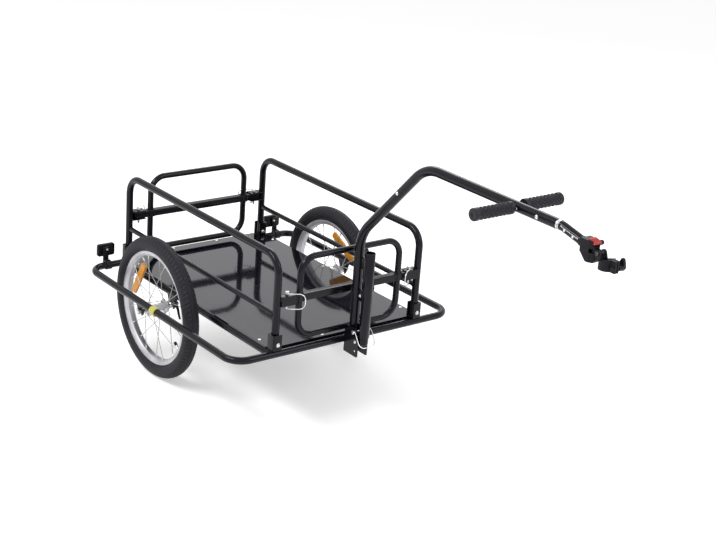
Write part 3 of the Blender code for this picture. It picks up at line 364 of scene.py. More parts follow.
def spread(tree, source, low, high, lowTo=0.0, highTo=1.0):
    return addNode(tree, "MapRange", {"Value": source, "From Min": low, "From Max": high, "To Min": lowTo,
                                      "To Max": highTo}, interpolation_type="SMOOTHSTEP")["Result"]


def noise(tree, place, scale, detail, roughness=0.5, distortion=0.0):
    return addNode(tree, "TexNoise", {"Vector": place, "Scale": scale, "Detail": detail, "Roughness": roughness,
                                      "Distortion": distortion})["Fac"]


def colourMix(tree, factor, first, second):
    return addNode(tree, "Mix", {0: factor, 6: first, 7: second}, data_type="RGBA")[2]


# Paint flow: the height of sprayed paint, a coarse swell with a fine peel on it.
def makePaintFlow():
    tree, start, end = newEffect("paintFlow", {"Scale": 1.0}, ["Height"])
    swell, peel = (noise(tree, start["Vector"], joined(tree, "MULTIPLY", start["Scale"], factor), detail, roughness)
                   for factor, detail, roughness in ((220.0, 1.0, 0.4), (900.0, 2.0, 0.5)))
    setInputs(tree, end, {"Height": joined(tree, "ADD", swell, joined(tree, "MULTIPLY", peel, 0.35))})
    return tree


# Settled dust: thickest where the surface looks up, broken up by two sizes of noise.
def makeSettledDust():
    tree, start, end = newEffect("settledDust", {"Amount": 0.3}, ["Mask"])
    facing = addNode(tree, "NewGeometry", {})["Normal"]
    upward = spread(tree, addNode(tree, "SeparateXYZ", {0: facing})["Z"], -0.1, 0.9)
    patches = spread(tree, noise(tree, start["Vector"], 26.0, 5.0, 0.62), 0.38, 0.72)
    dots = spread(tree, noise(tree, start["Vector"], 900.0, 2.0), 0.50, 0.72, 0.55)
    setInputs(tree, end, {"Mask": joined(tree, "MULTIPLY", patches, dots, upward, start["Amount"], clamp=True)})
    return tree


# Handling marks: thin broken hairlines, from noise drawn out along one direction and cut to a narrow band.
def makeHairlines():
    tree, start, end = newEffect("hairlines", {"Scale": 60.0, "Amount": 0.3}, ["Mask"])
    lines = []
    for turn, stretch in (((0.3, 0.9, 0.2), (0.05, 1.0, 1.0)), ((1.1, 0.1, 1.4), (1.0, 0.06, 1.0))):
        drawn = addNode(tree, "Mapping", {"Vector": start["Vector"], "Rotation": turn, "Scale": stretch})["Vector"]
        away = joined(tree, "SUBTRACT", noise(tree, drawn, start["Scale"], 3.0, 0.55, 0.3), 0.5)
        lines.append(spread(tree, joined(tree, "ABSOLUTE", away, 0.0), 0.0, 0.012, 1.0, 0.0))
    shown = spread(tree, noise(tree, start["Vector"], 18.0, 2.0), 0.48, 0.66)
    both = joined(tree, "MAXIMUM", *lines)
    setInputs(tree, end, {"Mask": joined(tree, "MULTIPLY", both, shown, start["Amount"])})
    return tree


# Moulded grain: rounded cells of a spark-eroded mould, with finer noise between them.
def makeMouldGrain():
    tree, start, end = newEffect("mouldGrain", {"Scale": 900.0}, ["Height", "Shade"])
    cells = addNode(tree, "TexVoronoi", {"Vector": start["Vector"], "Scale": start["Scale"]},
                    feature="F1")["Distance"]
    fine = noise(tree, start["Vector"], joined(tree, "MULTIPLY", start["Scale"], 0.45), 3.0, 0.6)
    setInputs(tree, end, {"Height": joined(tree, "ADD", joined(tree, "MULTIPLY", cells, 0.7), fine),
                          "Shade": spread(tree, fine, 0.3, 0.7)})
    return tree


# Tone drift: slow change between two colours, as between pours, platings or years in the sun.
def makeToneDrift():
    tree, start, end = newEffect("toneDrift", {"Scale": 12.0, "Light": (1, 1, 1, 1), "Dark": (0, 0, 0, 1)},
                                 ["Color", "Mask"])
    mask = spread(tree, noise(tree, start["Vector"], start["Scale"], 4.0, 0.6), 0.32, 0.68)
    setInputs(tree, end, {"Color": colourMix(tree, mask, start["Dark"], start["Light"]), "Mask": mask})
    return tree


effects = {"paintFlow": makePaintFlow(), "settledDust": makeSettledDust(), "hairlines": makeHairlines(),
           "mouldGrain": makeMouldGrain(), "toneDrift": makeToneDrift()}


def useEffect(tree, effect, place, **inputs):
    return addNode(tree, "Group", {"Vector": place, **inputs}, node_tree=effects[effect])


def newFinish(name, settings, fixed):
    made = bpy.data.materials.new(name)
    made.use_nodes = True
    tree = made.node_tree
    settings.update({label: (*value, 1) for label, value in settings.items() if isinstance(value, tuple)})
    setInputs(tree, tree.nodes["Principled BSDF"], fixed)
    return made, tree, addNode(tree, "TexCoord", {})["Object"]


def finishShader(tree, colour, roughness, height, strength, distance):
    bump = addNode(tree, "Bump", {"Height": height, "Strength": strength, "Distance": distance})["Normal"]
    setInputs(tree, tree.nodes["Principled BSDF"], {"Base Color": colour, "Roughness": roughness, "Normal": bump})


# Worn tone: the drifting colour with hairline marks over it.
def wornTone(tree, place, settings):
    tone = useEffect(tree, "toneDrift", place, Scale=settings["driftScale"], Light=settings["light"],
                     Dark=settings["dark"])
    marks = useEffect(tree, "hairlines", place, Scale=settings["markScale"], Amount=settings["marks"])["Mask"]
    return tone["Mask"], marks, colourMix(tree, marks, tone["Color"], settings["markColour"])


def dusted(tree, place, colour, settings):
    dust = useEffect(tree, "settledDust", place, Amount=settings["dust"])["Mask"]
    return dust, colourMix(tree, dust, colour, settings["dustColour"])


# Roughness: the base value and a share of each mask.
def rougher(tree, settings, *masks):
    shares = [joined(tree, "MULTIPLY", mask, share) for mask, share in masks]
    return joined(tree, "ADD", shares[0], settings["roughness"], *shares[1:], clamp=True)


sheenTint = (0.935, 0.92, 1.0, 1)  # the black paint, rubber and plastic all shine a little cool
roughShares = {"dust": 0.5, "paintMarks": 0.2, "metalMarks": 0.25}
bumpDepths = {"paint": 0.0002, "metal": 0.0001, "prism": 0.001}


def makePaint(name, settings):
    made, tree, place = newFinish(name, settings, {"Coat Weight": settings["coat"], "Specular Tint": sheenTint,
                                                   "Coat Roughness": settings["coatRoughness"],
                                                   "Specular IOR Level": settings["specular"]})
    marks, colour = wornTone(tree, place, settings)[1:]
    dust, colour = dusted(tree, place, colour, settings)
    flow = useEffect(tree, "paintFlow", place, Scale=settings["flowScale"])["Height"]
    roughness = rougher(tree, settings, (dust, roughShares["dust"]), (marks, roughShares["paintMarks"]))
    finishShader(tree, colour, roughness, flow, settings["flow"], bumpDepths["paint"])
    return made


def makeMetal(name, settings):
    made, tree, place = newFinish(name, settings, {"Metallic": 1.0})
    tone, marks, colour = wornTone(tree, place, settings)
    flow = useEffect(tree, "paintFlow", place, Scale=settings["flowScale"])["Height"]
    roughness = rougher(tree, settings, (tone, settings["roughnessDrift"]), (marks, roughShares["metalMarks"]))
    finishShader(tree, colour, roughness, flow, settings["flow"], bumpDepths["metal"])
    return made


def makeMoulded(name, settings):
    made, tree, place = newFinish(name, settings, {"Specular Tint": sheenTint,
                                                   "Specular IOR Level": settings["specular"]})
    grain = useEffect(tree, "mouldGrain", place, Scale=settings["grainScale"])
    tone = colourMix(tree, grain["Shade"], settings["dark"], settings["light"])
    colour = dusted(tree, place, tone, settings)[1]
    roughness = rougher(tree, settings, (grain["Shade"], settings["roughnessDrift"]))
    finishShader(tree, colour, roughness, grain["Height"], settings["grain"], settings["grainDepth"])
    return made


# Prism lens: a clear coloured lens over a grid of small corner prisms, with a painted glint: each prism is painted in
# the light colour at its middle, fading to the dark colour, the lens's own, at its edges.
def makeLens(name, settings):
    made, tree, place = newFinish(name, settings, {"Coat Weight": settings["coat"], "Coat Roughness": 0.04,
                                                   "Specular IOR Level": settings["specular"]})
    cells = addNode(tree, "TexVoronoi", {"Vector": place, "Scale": settings["prismScale"], "Randomness": 0.0},
                    feature="F1", distance="CHEBYCHEV")["Distance"]
    # Painted glint: the light colour at each prism's middle, the dark colour at its edges.
    colour = colourMix(tree, spread(tree, cells, 0.05, 0.5), settings["light"], settings["dark"])
    finishShader(tree, colour, settings["roughness"], cells, settings["prism"], bumpDepths["prism"])
    return made


# One table for each kind of finish: its columns, then a row for each finish that starts with its name.
def makeFinishes(make, columns, *rows):
    return [make(row[0], dict(zip(columns.split(), row[1:]))) for row in rows]


enamel, floorGloss = makeFinishes(
    makePaint, "slot roughness specular coat coatRoughness driftScale light dark "
    "dust dustColour markScale marks markColour flowScale flow",
    ("blackEnamel", "black_enamel", 0.19, 0.22, 0.03, 0.10, 9.0, (0.0058, 0.0055, 0.0085), (0.0028, 0.0026, 0.0048),
     0.05, (0.10, 0.10, 0.105), 70.0, 0.10, (0.05, 0.05, 0.052), 1.0, 0.10),
    ("glossFloor", "floor_gloss", 0.07, 0.47, 0.26, 0.03, 5.0, (0.0060, 0.0056, 0.0110), (0.0035, 0.0032, 0.0070),
     0.03, (0.16, 0.155, 0.17), 34.0, 0.16, (0.06, 0.06, 0.063), 0.25, 0.05))
zinc, wire, alloy, darkZinc, spokeSteel = makeFinishes(
    makeMetal, "slot roughness roughnessDrift driftScale light dark markScale marks markColour flowScale flow",
    ("brightZinc", "zinc", 0.24, 0.16, 60.0, (0.78, 0.78, 0.77), (0.58, 0.58, 0.59),
     160.0, 0.35, (0.42, 0.42, 0.42), 3.0, 0.10),
    ("drawnWire", "zinc", 0.16, 0.10, 90.0, (0.86, 0.86, 0.86), (0.66, 0.66, 0.67),
     200.0, 0.2, (0.5, 0.5, 0.5), 4.0, 0.05),
    ("satinAlloy", "polished_alloy", 0.44, 0.10, 16.0, (0.57, 0.565, 0.59), (0.43, 0.425, 0.45),
     90.0, 0.25, (0.34, 0.34, 0.35), 2.0, 0.08),
    ("darkZinc", "zinc", 0.34, 0.12, 60.0, (0.10, 0.10, 0.105), (0.045, 0.045, 0.05),
     160.0, 0.3, (0.2, 0.2, 0.2), 3.0, 0.10),
    ("spokeSteel", "polished_alloy", 0.30, 0.10, 30.0, (0.48, 0.48, 0.47), (0.34, 0.34, 0.34),
     200.0, 0.2, (0.26, 0.26, 0.26), 4.0, 0.05))
tyreRubber, gripRubber, plastic, buttonRed, lime = makeFinishes(
    makeMoulded, "slot roughness specular roughnessDrift grainScale grain grainDepth light dark dust dustColour",
    ("tyreRubber", "tyre_rubber", 0.55, 0.36, 0.16, 700.0, 0.35, 0.0002,
     (0.0100, 0.0096, 0.0130), (0.0035, 0.0033, 0.0050), 0.05, (0.10, 0.098, 0.094)),
    ("gripRubber", "grip_rubber", 0.42, 0.35, 0.15, 1500.0, 0.4, 0.0002,
     (0.0135, 0.0122, 0.0175), (0.0055, 0.0048, 0.0078), 0.02, (0.09, 0.088, 0.10)),
    ("blackPlastic", "black_plastic", 0.36, 0.20, 0.12, 1400.0, 0.25, 0.0001,
     (0.009, 0.0085, 0.0115), (0.0045, 0.0042, 0.0065), 0.05, (0.10, 0.10, 0.10)),
    ("buttonRed", "red_plastic", 0.34, 0.4, 0.10, 1600.0, 0.15, 0.0001,
     (0.56, 0.050, 0.036), (0.42, 0.030, 0.024), 0.10, (0.62, 0.34, 0.30)),
    ("limePlastic", "lime_plastic", 0.38, 0.4, 0.10, 1200.0, 0.15, 0.0001,
     (0.64, 0.59, 0.14), (0.52, 0.49, 0.09), 0.12, (0.7, 0.69, 0.5)))
# In the lens rows the light colour is a painted glint at each prism's middle; the dark colour is the lens's own.
amberLens, redLens = makeFinishes(
    makeLens, "slot roughness specular coat prismScale prism light dark",
    ("amberLens", "amber_plastic", 0.24, 0.25, 0.22, 420.0, 0.5, (0.90, 0.41, 0.010), (0.66, 0.235, 0.002)),
    ("redLens", "red_plastic", 0.22, 0.3, 0.3, 420.0, 0.5, (0.72, 0.03, 0.02), (0.42, 0.01, 0.01)))
print("stage 3: finishes made")


base = {"tube": 0.010, "rear": -0.281, "front": 0.474, "side": 0.358, "height": 0.2306, "bend": 0.050,
        "railSide": 0.245, "crossTube": 0.008, "crossAt": {"rear": -0.100, "front": 0.190},
        "hangerThick": 0.004, "hangerTop": 0.052, "hangerEnd": 0.014, "axleHeight": 0.200, "slotHalf": 0.0053,
        "wheelSide": 0.300, "hangerSpan": 0.096, "hangerFoot": 0.002, "hangerLip": -0.004}
weld = {"bead": 0.0015, "drops": 30, "ripple": 0.14, "points": 120}


# Saddle bead: the weld follows the curve where a tube of radius r meets the side of a tube of radius R,
# so it stands back from the big tube's axis by the root of R squared less the square of its own height.
def saddleBead(at, along, across, small, big):
    along = unit(along)
    across = unit(across)
    high = np.cross(along, across)
    angle = np.linspace(0, 2 * np.pi, weld["points"], endpoint=False)
    height = small * np.sin(angle)
    wide = small * np.cos(angle)
    back = np.sqrt(np.maximum(big ** 2 - height ** 2, 0))
    path = np.asarray(at, float) + back[:, None] * along + wide[:, None] * across + height[:, None] * high
    size = weld["bead"] * (1 + weld["ripple"] * np.abs(np.sin(angle * weld["drops"] / 2)))
    return swept(path, size, along + 0.3 * high, sides=8, closed=True)


# Hanger: a plate that narrows from the tube down to a round end, cut open by the axle's slot.
def hangerOutline(settings):
    drop = settings["height"] - settings["axleHeight"]
    top, foot, lip = settings["hangerTop"] / 2, settings["hangerFoot"], settings["hangerLip"]
    slot, end = settings["slotHalf"], settings["hangerEnd"]
    mouth = math.degrees(math.asin(slot / end))
    return np.concatenate([[(top, foot), (-top, foot), (-top, lip)], arcPoints((0, -drop), end, 200, 270 - mouth, 8),
                           arcPoints((0, -drop), slot, 180, 0, 12), arcPoints((0, -drop), end, 270 + mouth, 340, 8),
                           [(top, lip)]])


def addBase(settings):
    r, z = settings["tube"], settings["height"]
    rear, front, side = settings["rear"], settings["front"], settings["side"]
    path = bentPath([(rear, -side, z), (front, -side, z), (front, side, z), (rear, side, z)],
                    settings["bend"], 16, closed=True)
    addPiece("ringTube", [swept(path, r, (0, 0, 1), sides=40, closed=True)], enamel, replacing=["base_ring"])
    outline = hangerOutline(settings)
    thick = settings["hangerThick"]
    half = (settings["hangerSpan"] + thick) / 2
    for name, reach in (("outer", half), ("inner", -half)):
        plates = [plateForm(outline, thick, (0, s * (settings["wheelSide"] + reach), z), *upright)
                  for s in (-1, 1)]
        addPiece(name + "Hangers", plates, enamel, bevel=0.0005)
    beads = []
    small = settings["crossTube"]
    low = z + r - small
    for label, s in sideSigns.items():
        y = s * settings["railSide"]
        rail = rodForm((rear, y, z), (front, y, z), 8, r, (0, 0, 1), sides=40)
        addPiece("innerRail_" + label, [rail], enamel, replacing=["inner_rail_" + label])
        beads += [saddleBead((x, y, z), (way, 0, 0), (0, 1, 0), r, r) for x, way in ((rear, 1), (front, -1))]
        beads += [saddleBead((x, y, low), (0, -s, 0), (1, 0, 0), small, r) for x in settings["crossAt"].values()]
    for label, x in settings["crossAt"].items():
        path = straightPath((x, -settings["railSide"], low), (x, settings["railSide"], low), 6)
        addPiece("crossTube_" + label, [swept(path, small, (0, 0, 1))], enamel, replacing=["cross_tube_" + label])
    addPiece("baseWelds", beads, enamel)


addBase(base)


panel = {"thick": 0.004, "rear": -0.293, "front": 0.464, "side": 0.2475, "notchY": 0.217, "notchReach": 0.0163,
         "postX": {"rear": -0.2775, "front": 0.4665}, "corner": 0.004, "screw": 0.0046, "screwHigh": 0.0019,
         "lip": (0.4622, 0.0098, 0.2335), "lipThick": 0.0024,
         "screws": [(0.405, -0.236), (0.405, 0.236), (0.045, -0.236), (0.045, 0.236), (-0.215, -0.236),
                    (-0.215, 0.236), (0.4555, -0.071), (0.4555, 0.081), (-0.284, -0.076), (-0.284, 0.076)]}


# Domed head: a short wall, then a quarter ellipse up to the middle or to the edge of its socket.
def domeHead(at, axis, radius, height, sides=24, slot=True):
    lean = np.radians(np.linspace(12, 84, 7))
    dome = np.stack([radius * np.cos(lean), height * (0.22 + 0.78 * np.sin(lean))], -1)
    socket = [(radius * 0.42, height * 0.97), (radius * 0.36, height * 0.45), (0, height * 0.40)]
    return turnedForm([(0, 0), (radius, 0), (radius, height * 0.22), *dome, *(socket if slot else [(0, height)])],
                      at, axis, sides)


# Hexagon head: a turned profile with six sides and its top edge cut.
def hexHead(at, axis, radius, height):
    return turnedForm([(0, 0), (radius * 0.94, 0), (radius, height * 0.08), (radius, height * 0.84),
                       (radius * 0.9, height), (0, height)], at, axis, 6)


# Band: a turned ring or disc whose outer edges are cut by a small corner.
def bandForm(at, axis, outer, bore, low, high, soft, sides=48):
    return turnedForm([(bore, low), (outer - soft, low), (outer, low + soft), (outer, high - soft),
                       (outer - soft, high), (bore, high)], at, axis, sides)


def washer(at, axis, radius, bore, thick):
    return bandForm(at, axis, radius, bore, 0, thick, thick * 0.25, 32)


# Panel: a rectangle with a notch at each corner for the post, and a lip folded down along its front.
def addPanel(settings):
    foot = base["height"] + base["tube"] + fitGap
    thick = settings["thick"]
    outline = []
    for end, s in (("front", -1), ("front", 1), ("rear", 1), ("rear", -1)):
        near = settings["postX"][end] - endSigns[end] * settings["notchReach"]
        notch = [(near, s * settings["side"], 0), (near, s * settings["notchY"], 0),
                 (settings[end], s * settings["notchY"], 0)]
        outline += notch[::-endSigns[end] * s]
    loop = bentPath(outline, settings["corner"], 5, closed=True)[:, :2]
    sheet = plateForm(loop, thick, (0, 0, foot + thick / 2), *level)
    lipX, lipHigh, lipSide = settings["lip"]
    lip = blockForm((settings["lipThick"], 2 * lipSide, lipHigh), (lipX, 0, foot + (thick - lipHigh) / 2), 0.0008)
    addPiece("floorPanel", [sheet, lip], floorGloss, replacing=["floor_panel"], bevel=0.0006)
    heads = [domeHead((x, y, foot + thick), (0, 0, 1), settings["screw"], settings["screwHigh"])
             for x, y in settings["screws"]]
    addPiece("floorScrews", heads, zinc)


addPanel(panel)


post = {"x": {"rear": -0.2775, "front": 0.4665}, "side": 0.231, "wall": 0.004, "height": 0.043, "inner": 0.012,
        "pivot": 0.016, "bolt": 0.003, "boltTail": 0.0058, "head": 0.0058, "domeHigh": 0.0033, "discThick": 0.0009,
        "nutHigh": 0.0042, "fold": 0.003, "innerFold": 0.0008}


# Bracket: a U of sheet, its section drawn as an outer and an inner line joined at the ends, carried up the post.
def addPosts(settings):
    foot = base["height"] + base["tube"] + fitGap
    clear = base["tube"] + fitGap
    wall, side, high = settings["wall"], settings["side"], settings["height"]
    reach = clear + wall
    inner = side - settings["inner"]
    far = side + reach
    z = foot + settings["pivot"]
    head = settings["head"]
    for end, x in settings["x"].items():
        for label, s in sideSigns.items():
            name = f"{end}_{label}"
            outer, inside = (bentPath([(x - half, s * inner, 0), (x - half, s * out, 0), (x + half, s * out, 0),
                                       (x + half, s * inner, 0)], fold, 6)
                             for half, out, fold in ((reach, far, settings["fold"]),
                                                     (clear, far - wall, settings["innerFold"])))
            channel = plateForm(np.concatenate([outer, inside[::-1]])[:, :2], high, (0, 0, foot + high / 2),
                                *level)
            sole = blockForm((2 * clear, far - wall - inner, wall),
                             (x, s * (inner + far - wall) / 2, foot + wall / 2), 0.0004)
            addPiece("postBracket_" + name, [channel, sole], enamel, replacing=["post_bracket_" + name], bevel=0.0006)
            y = s * side
            front = x + reach + fitGap
            back = x - reach - fitGap
            shank = straightPath((back - settings["boltTail"], y, z), (front + 0.001, y, z), 2)
            addPiece("pivotBolt_" + name, [
                swept(shank, settings["bolt"], (0, 0, 1), sides=20),
                domeHead((front + 0.0008, y, z), (1, 0, 0), head * 0.86, settings["domeHigh"]),
                washer((front, y, z), (1, 0, 0), head, settings["bolt"], settings["discThick"]),
                hexHead((back, y, z), (-1, 0, 0), head * 0.96, settings["nutHigh"]),
            ], zinc, replacing=["pivot_bolt_" + name])


addPosts(post)


hoop = {"top": 0.491, "bend": 0.050, "midRail": 0.007, "midHeight": 0.334, "barHeight": 0.372, "barHalf": 0.010,
        "holderWall": 0.003, "holderInner": 0.1735, "holderSink": 0.004, "flangeOut": 0.0004, "slant": 0.010,
        "pinSide": 0.201}


# Gate holder: a web with its free end cut on two slants, and a flange above and below it.
def gateHolderForm(settings, end, s):
    x, z, out = post["x"][end], settings["barHeight"], endSigns[end]
    wall, start, slant = settings["holderWall"], settings["holderInner"], settings["slant"]
    half = settings["barHalf"] + fitGap + wall
    seat = post["side"] - base["tube"] + settings["holderSink"]
    web = [(s * seat, -half), (s * seat, half), (s * (start + slant), half), (s * start, half - slant),
           (s * start, slant - half), (s * (start + slant), -half)]
    forms = [plateForm(web, wall, (x + out * (half - wall / 2), 0, z), (0, 1, 0), (0, 0, 1))]
    for way in (-1, 1):
        middle = (x - out * (wall / 2 - settings["flangeOut"]), s * (seat + start + slant) / 2,
                  z + way * (half - wall / 2))
        forms.append(blockForm((2 * half - wall, seat - start - slant, wall - fitGap), middle, 0.0007))
    return forms


def addSideFrames(settings):
    r, mid, z, top = base["tube"], settings["midRail"], settings["midHeight"], settings["top"]
    rear, front = post["x"]["rear"], post["x"]["front"]
    foot = base["height"] + r + fitGap + post["wall"] + fitGap
    for label, s in sideSigns.items():
        y = s * post["side"]
        path = bentPath([(rear, y, foot), (rear, y, top), (front, y, top), (front, y, foot)], settings["bend"], 16)
        addPiece("sideHoop_" + label, [swept(path, r, (0, 1, 0), sides=40)], enamel,
                 replacing=["side_frame_" + label])
        rail = rodForm((rear, y, z), (front, y, z), 8, mid, (0, 0, 1), sides=28)
        beads = [saddleBead((x, y, z), (way, 0, 0), (0, 1, 0), mid, r) for x, way in ((rear, 1), (front, -1))]
        addPiece("midRail_" + label, [rail] + beads, enamel)
        for end in endSigns:
            addPiece(f"gateHolder_{end}_{label}", gateHolderForm(settings, end, s), enamel, bevel=0.0005)


addSideFrames(hoop)


gate = {"side": 0.162, "tube": 0.0085, "top": 0.478, "bottom": 0.262, "bend": 0.045, "bar": 0.020,
        "barCorner": 0.0028, "barEnd": 0.2145, "bead": 0.0014, "beadHalf": 0.0102, "beadIn": 0.0008,
        "beadBend": 0.003}


def addGates(settings):
    side, r, low, top = settings["side"], settings["tube"], settings["bottom"], settings["top"]
    barEnd, half = settings["barEnd"], settings["beadHalf"]
    z = hoop["barHeight"]
    section = roundedRectangle(settings["bar"], settings["bar"], settings["barCorner"], 6)
    for end, x in post["x"].items():
        path = bentPath([(x, -side, low), (x, side, low), (x, side, top), (x, -side, top)],
                        settings["bend"], 16, closed=True)
        forms = [swept(path, r, (1, 0, 0), sides=36, closed=True),
                 rodForm((x, -barEnd, z), (x, barEnd, z), 6, 1.0, (1, 0, 0), section, edge=0.0012)]
        for y in (-side - r, -side + r, side - r, side + r):
            y += settings["beadIn"] * (1 if abs(y) < side else -1) * np.sign(y)
            path = bentPath([(x - half, y, z - half), (x + half, y, z - half), (x + half, y, z + half),
                             (x - half, y, z + half)], settings["beadBend"], 5, closed=True)
            forms.append(swept(path, settings["bead"], (0, 1, 0), sides=8, closed=True))
        addPiece(f"gateLoop_{end}", forms, enamel, replacing=[f"{end}_gate"])


addGates(gate)
print("stage 4: tube frame, floor, side frames and gates")


lock = {"pin": 0.003, "head": 0.0052, "headHeight": 0.0090, "tail": 0.0135, "wire": 0.00135, "reach": 0.047,
        "bend": 0.016, "eyeBend": 0.003, "eye": 0.0015, "stand": 0.0025, "edge": 0.0009, "turn": 30,
        "footReach": 0.0476, "footDrop": 56, "footTail": 0.0180}


# Pin: a turned head with soft edges, and a shank that narrows at its tip.
def lockPin(settings, at, along, shank):
    half, r, top, soft = settings["headHeight"] / 2, settings["pin"], settings["head"], settings["edge"]
    tip = -half - shank
    profile = [(0, half), (top - soft * 1.6, half), (top - soft * 0.5, half - soft * 0.4), (top, half - soft * 1.4),
               (top, -half + soft * 0.6), (top - soft * 0.6, -half), (r, -half), (r, tip + 0.0028),
               (r - 0.0003, tip + 0.0016), (r - 0.0014, tip + 0.0003), (0, tip)]
    return [turnedForm(profile, at, -along, 32)]


# Bail wire: from the drilled head out to the side, along the bail's reach, down past the pin's end, and back under
# it. Of the two sides it takes the one that looks along the guide.
def bailForm(settings, at, along, out, guide, reach, shank, normal):
    across = np.cross(along, out)
    across = across * (1 if across @ guide > 0 else -1)
    away = across * (settings["head"] + settings["stand"])
    snug = across * (settings["pin"] + settings["wire"] + fitGap)
    drop = along * (settings["headHeight"] / 2 + shank - 0.0035)
    start = away + out * reach * 0.3
    eye = bentPath([-across * (settings["head"] + settings["eye"]), away, start], settings["eyeBend"], 6)
    loop = bentPath([start, away + out * reach, away + out * reach + drop, start + drop], settings["bend"], 12)
    path = np.concatenate([eye, loop[1:], [snug + out * 0.002 + drop]]) + at
    return [swept(path, settings["wire"], normal, sides=12, edge=0.0004)]


def addPins(settings):
    down = np.array([0.0, 0.0, -1.0])
    shank = 2 * (hoop["barHalf"] + fitGap + hoop["holderWall"]) + settings["tail"]
    z = hoop["barHeight"] + hoop["barHalf"] + hoop["holderWall"] + 2 * fitGap + settings["headHeight"] / 2
    turn = math.radians(settings["turn"])
    for end, way in endSigns.items():
        for label, s in sideSigns.items():
            at = np.array([post["x"][end], s * hoop["pinSide"], z])
            out = np.array([way * math.sin(turn), -s * math.cos(turn), 0.0])
            addPiece(f"gatePin_{end}_{label}", lockPin(settings, at, down, shank), zinc,
                     replacing=[f"gate_pin_{end}_{label}"])
            bail = bailForm(settings, at, down, out, (way, 0, 0), settings["reach"], shank, (0.31, 0.23, 0.92))
            addPiece(f"gateBail_{end}_{label}", bail, wire, body=f"{end}_{label}_bail",
                     replacing=[f"gate_bail_{end}_{label}"])


addPins(lock)


arm = {"tube": 0.0125, "foot": 0.203, "rise": 46.6, "knee": 0.527, "bend": 0.110, "top": 0.7690,
       "mouth": (1.1730, 0.7650), "stem": 0.011, "insert": 0.070, "drop": 13.5, "stemBend": 0.050, "stemEnd": 1.266,
       "collarWide": 0.0090, "collar": 0.0122, "collarGap": 0.004, "seam": 0.0002, "barX": 1.0425, "barTube": 0.008,
       "barIn": 0.0053, "grip": 0.0155, "gripEnd": 0.1360, "gripOff": 0.006}
arm["x"] = base["front"] + base["tube"] + fitGap + arm["tube"]


# Arm line: up from the foot, then along the slant, which meets the top run where its rise is used up.
def armLine(settings):
    x, knee, top = settings["x"], settings["knee"], settings["top"]
    shoulder = x + (top - knee) / math.tan(math.radians(settings["rise"]))
    mouthX, mouthZ = settings["mouth"]
    return np.array([(x, 0, settings["foot"]), (x, 0, knee), (shoulder, 0, top), (mouthX, 0, mouthZ)])


armCorners = armLine(arm)
armAlong = unit(armCorners[3] - armCorners[2])
armMouth = armCorners[3]


def onTopRun(x):
    return armMouth + armAlong * (x - armMouth[0]) / armAlong[0]


gripSkin = {"columns": 72, "ridge": 0.0025, "netDeep": 0.0031, "collarIn": 0.0004, "rimIn": 0.0010, "waves": 5,
            "pitch": 270, "netFrom": 0.0100, "netTo": 0.0120}


# Grip: a sleeve whose skin is a net of small raised lozenges, the product of two crossed waves round and along it.
# Its end is rounded by a quarter circle and hollowed in the middle.
def gripForm(settings, at, s):
    start, end, r = settings["tube"] + settings["gripOff"], settings["gripEnd"], settings["grip"]
    low, high = start + gripSkin["netFrom"], end - gripSkin["netTo"]
    along = np.concatenate([np.linspace(start, start + 0.0010, 3), np.linspace(start + 0.0015, low - 0.0015, 6),
                            np.linspace(low, high, 118), np.linspace(high + 0.0015, end - 0.0035, 6)])
    ring = circle(gripSkin["columns"])
    angle = np.linspace(0, 2 * np.pi, gripSkin["columns"], endpoint=False) * gripSkin["waves"]
    crossed = along[:, None] * gripSkin["pitch"]
    net = np.abs(np.sin(angle + crossed) * np.sin(angle - crossed))
    inNet = ((along >= low) & (along <= high))[:, None]
    rim = np.where(along < start + 0.0012, gripSkin["rimIn"], 0.0)[:, None]
    radius = np.where(inNet, r - gripSkin["netDeep"] + gripSkin["ridge"] * np.minimum(net * 1.6, 1.0),
                      r - gripSkin["collarIn"] - rim)
    lean = np.radians(np.linspace(0, 90, 8))[:-1]
    tail = np.concatenate([np.stack([r - 0.0035 + 0.0031 * np.cos(lean), end - 0.0032 + 0.0032 * np.sin(lean)], -1),
                           [(0.0052, end), (0.0044, end - 0.0006), (0.0040, end - 0.0016), (0.0, end - 0.0016)]])
    radius = np.concatenate([np.zeros((1, len(ring))), radius, np.repeat(tail[:, :1], len(ring), 1)])
    along = np.concatenate([[start], along, tail[:, 1]])
    points = np.stack([radius * ring[:, 0], s * along[:, None] + 0 * radius, radius * ring[:, 1]], -1)
    return gridSurface(points + at)


def addArm(settings):
    addPiece("armTube", [swept(bentPath(armCorners, settings["bend"], 20), settings["tube"], (0, 1, 0), sides=44,
                               edge=0.0012)], enamel, replacing=["tow_arm"])
    wide, outer, inner = settings["collarWide"], settings["collar"], settings["stem"] + settings["seam"]
    band = [(inner, 0), (outer - 0.0004, 0), (outer, 0.0005), (outer, wide * 0.42), (outer - 0.0005, wide * 0.50),
            (outer, wide * 0.58), (outer, wide - 0.0005), (outer - 0.0004, wide), (inner, wide)]
    addPiece("armCollar", [turnedForm(band, armMouth + armAlong * fitGap, armAlong, 48)], zinc,
             replacing=["arm_collar"])
    knee = armMouth + armAlong * (wide + settings["collarGap"])
    drop = math.radians(settings["drop"])
    run = np.array([math.cos(drop), 0, -math.sin(drop)])
    end = knee + run * (settings["stemEnd"] - knee[0]) / run[0]
    path = bentPath([armMouth - armAlong * settings["insert"], knee, end], settings["stemBend"], 12)
    addPiece("drawbarStem", [swept(path, settings["stem"], (0, 1, 0), sides=36)], enamel, replacing=["drawbar_stem"])
    at = onTopRun(settings["barX"])
    half = np.array([0, settings["gripEnd"] - settings["barIn"], 0])
    bar = rodForm(at - half, at + half, 4, settings["barTube"], (0, 0, 1))
    addPiece("handlebarTube", [bar], enamel, replacing=["handlebar"])
    for label, s in sideSigns.items():
        addPiece("handGrip_" + label, [gripForm(settings, at, s)], gripRubber, replacing=["grip_" + label], sharp=60)
    return run, end


stemRun, stemEnd = addArm(arm)


def onStem(x):
    return stemEnd + stemRun * (x - stemEnd[0]) / stemRun[0]
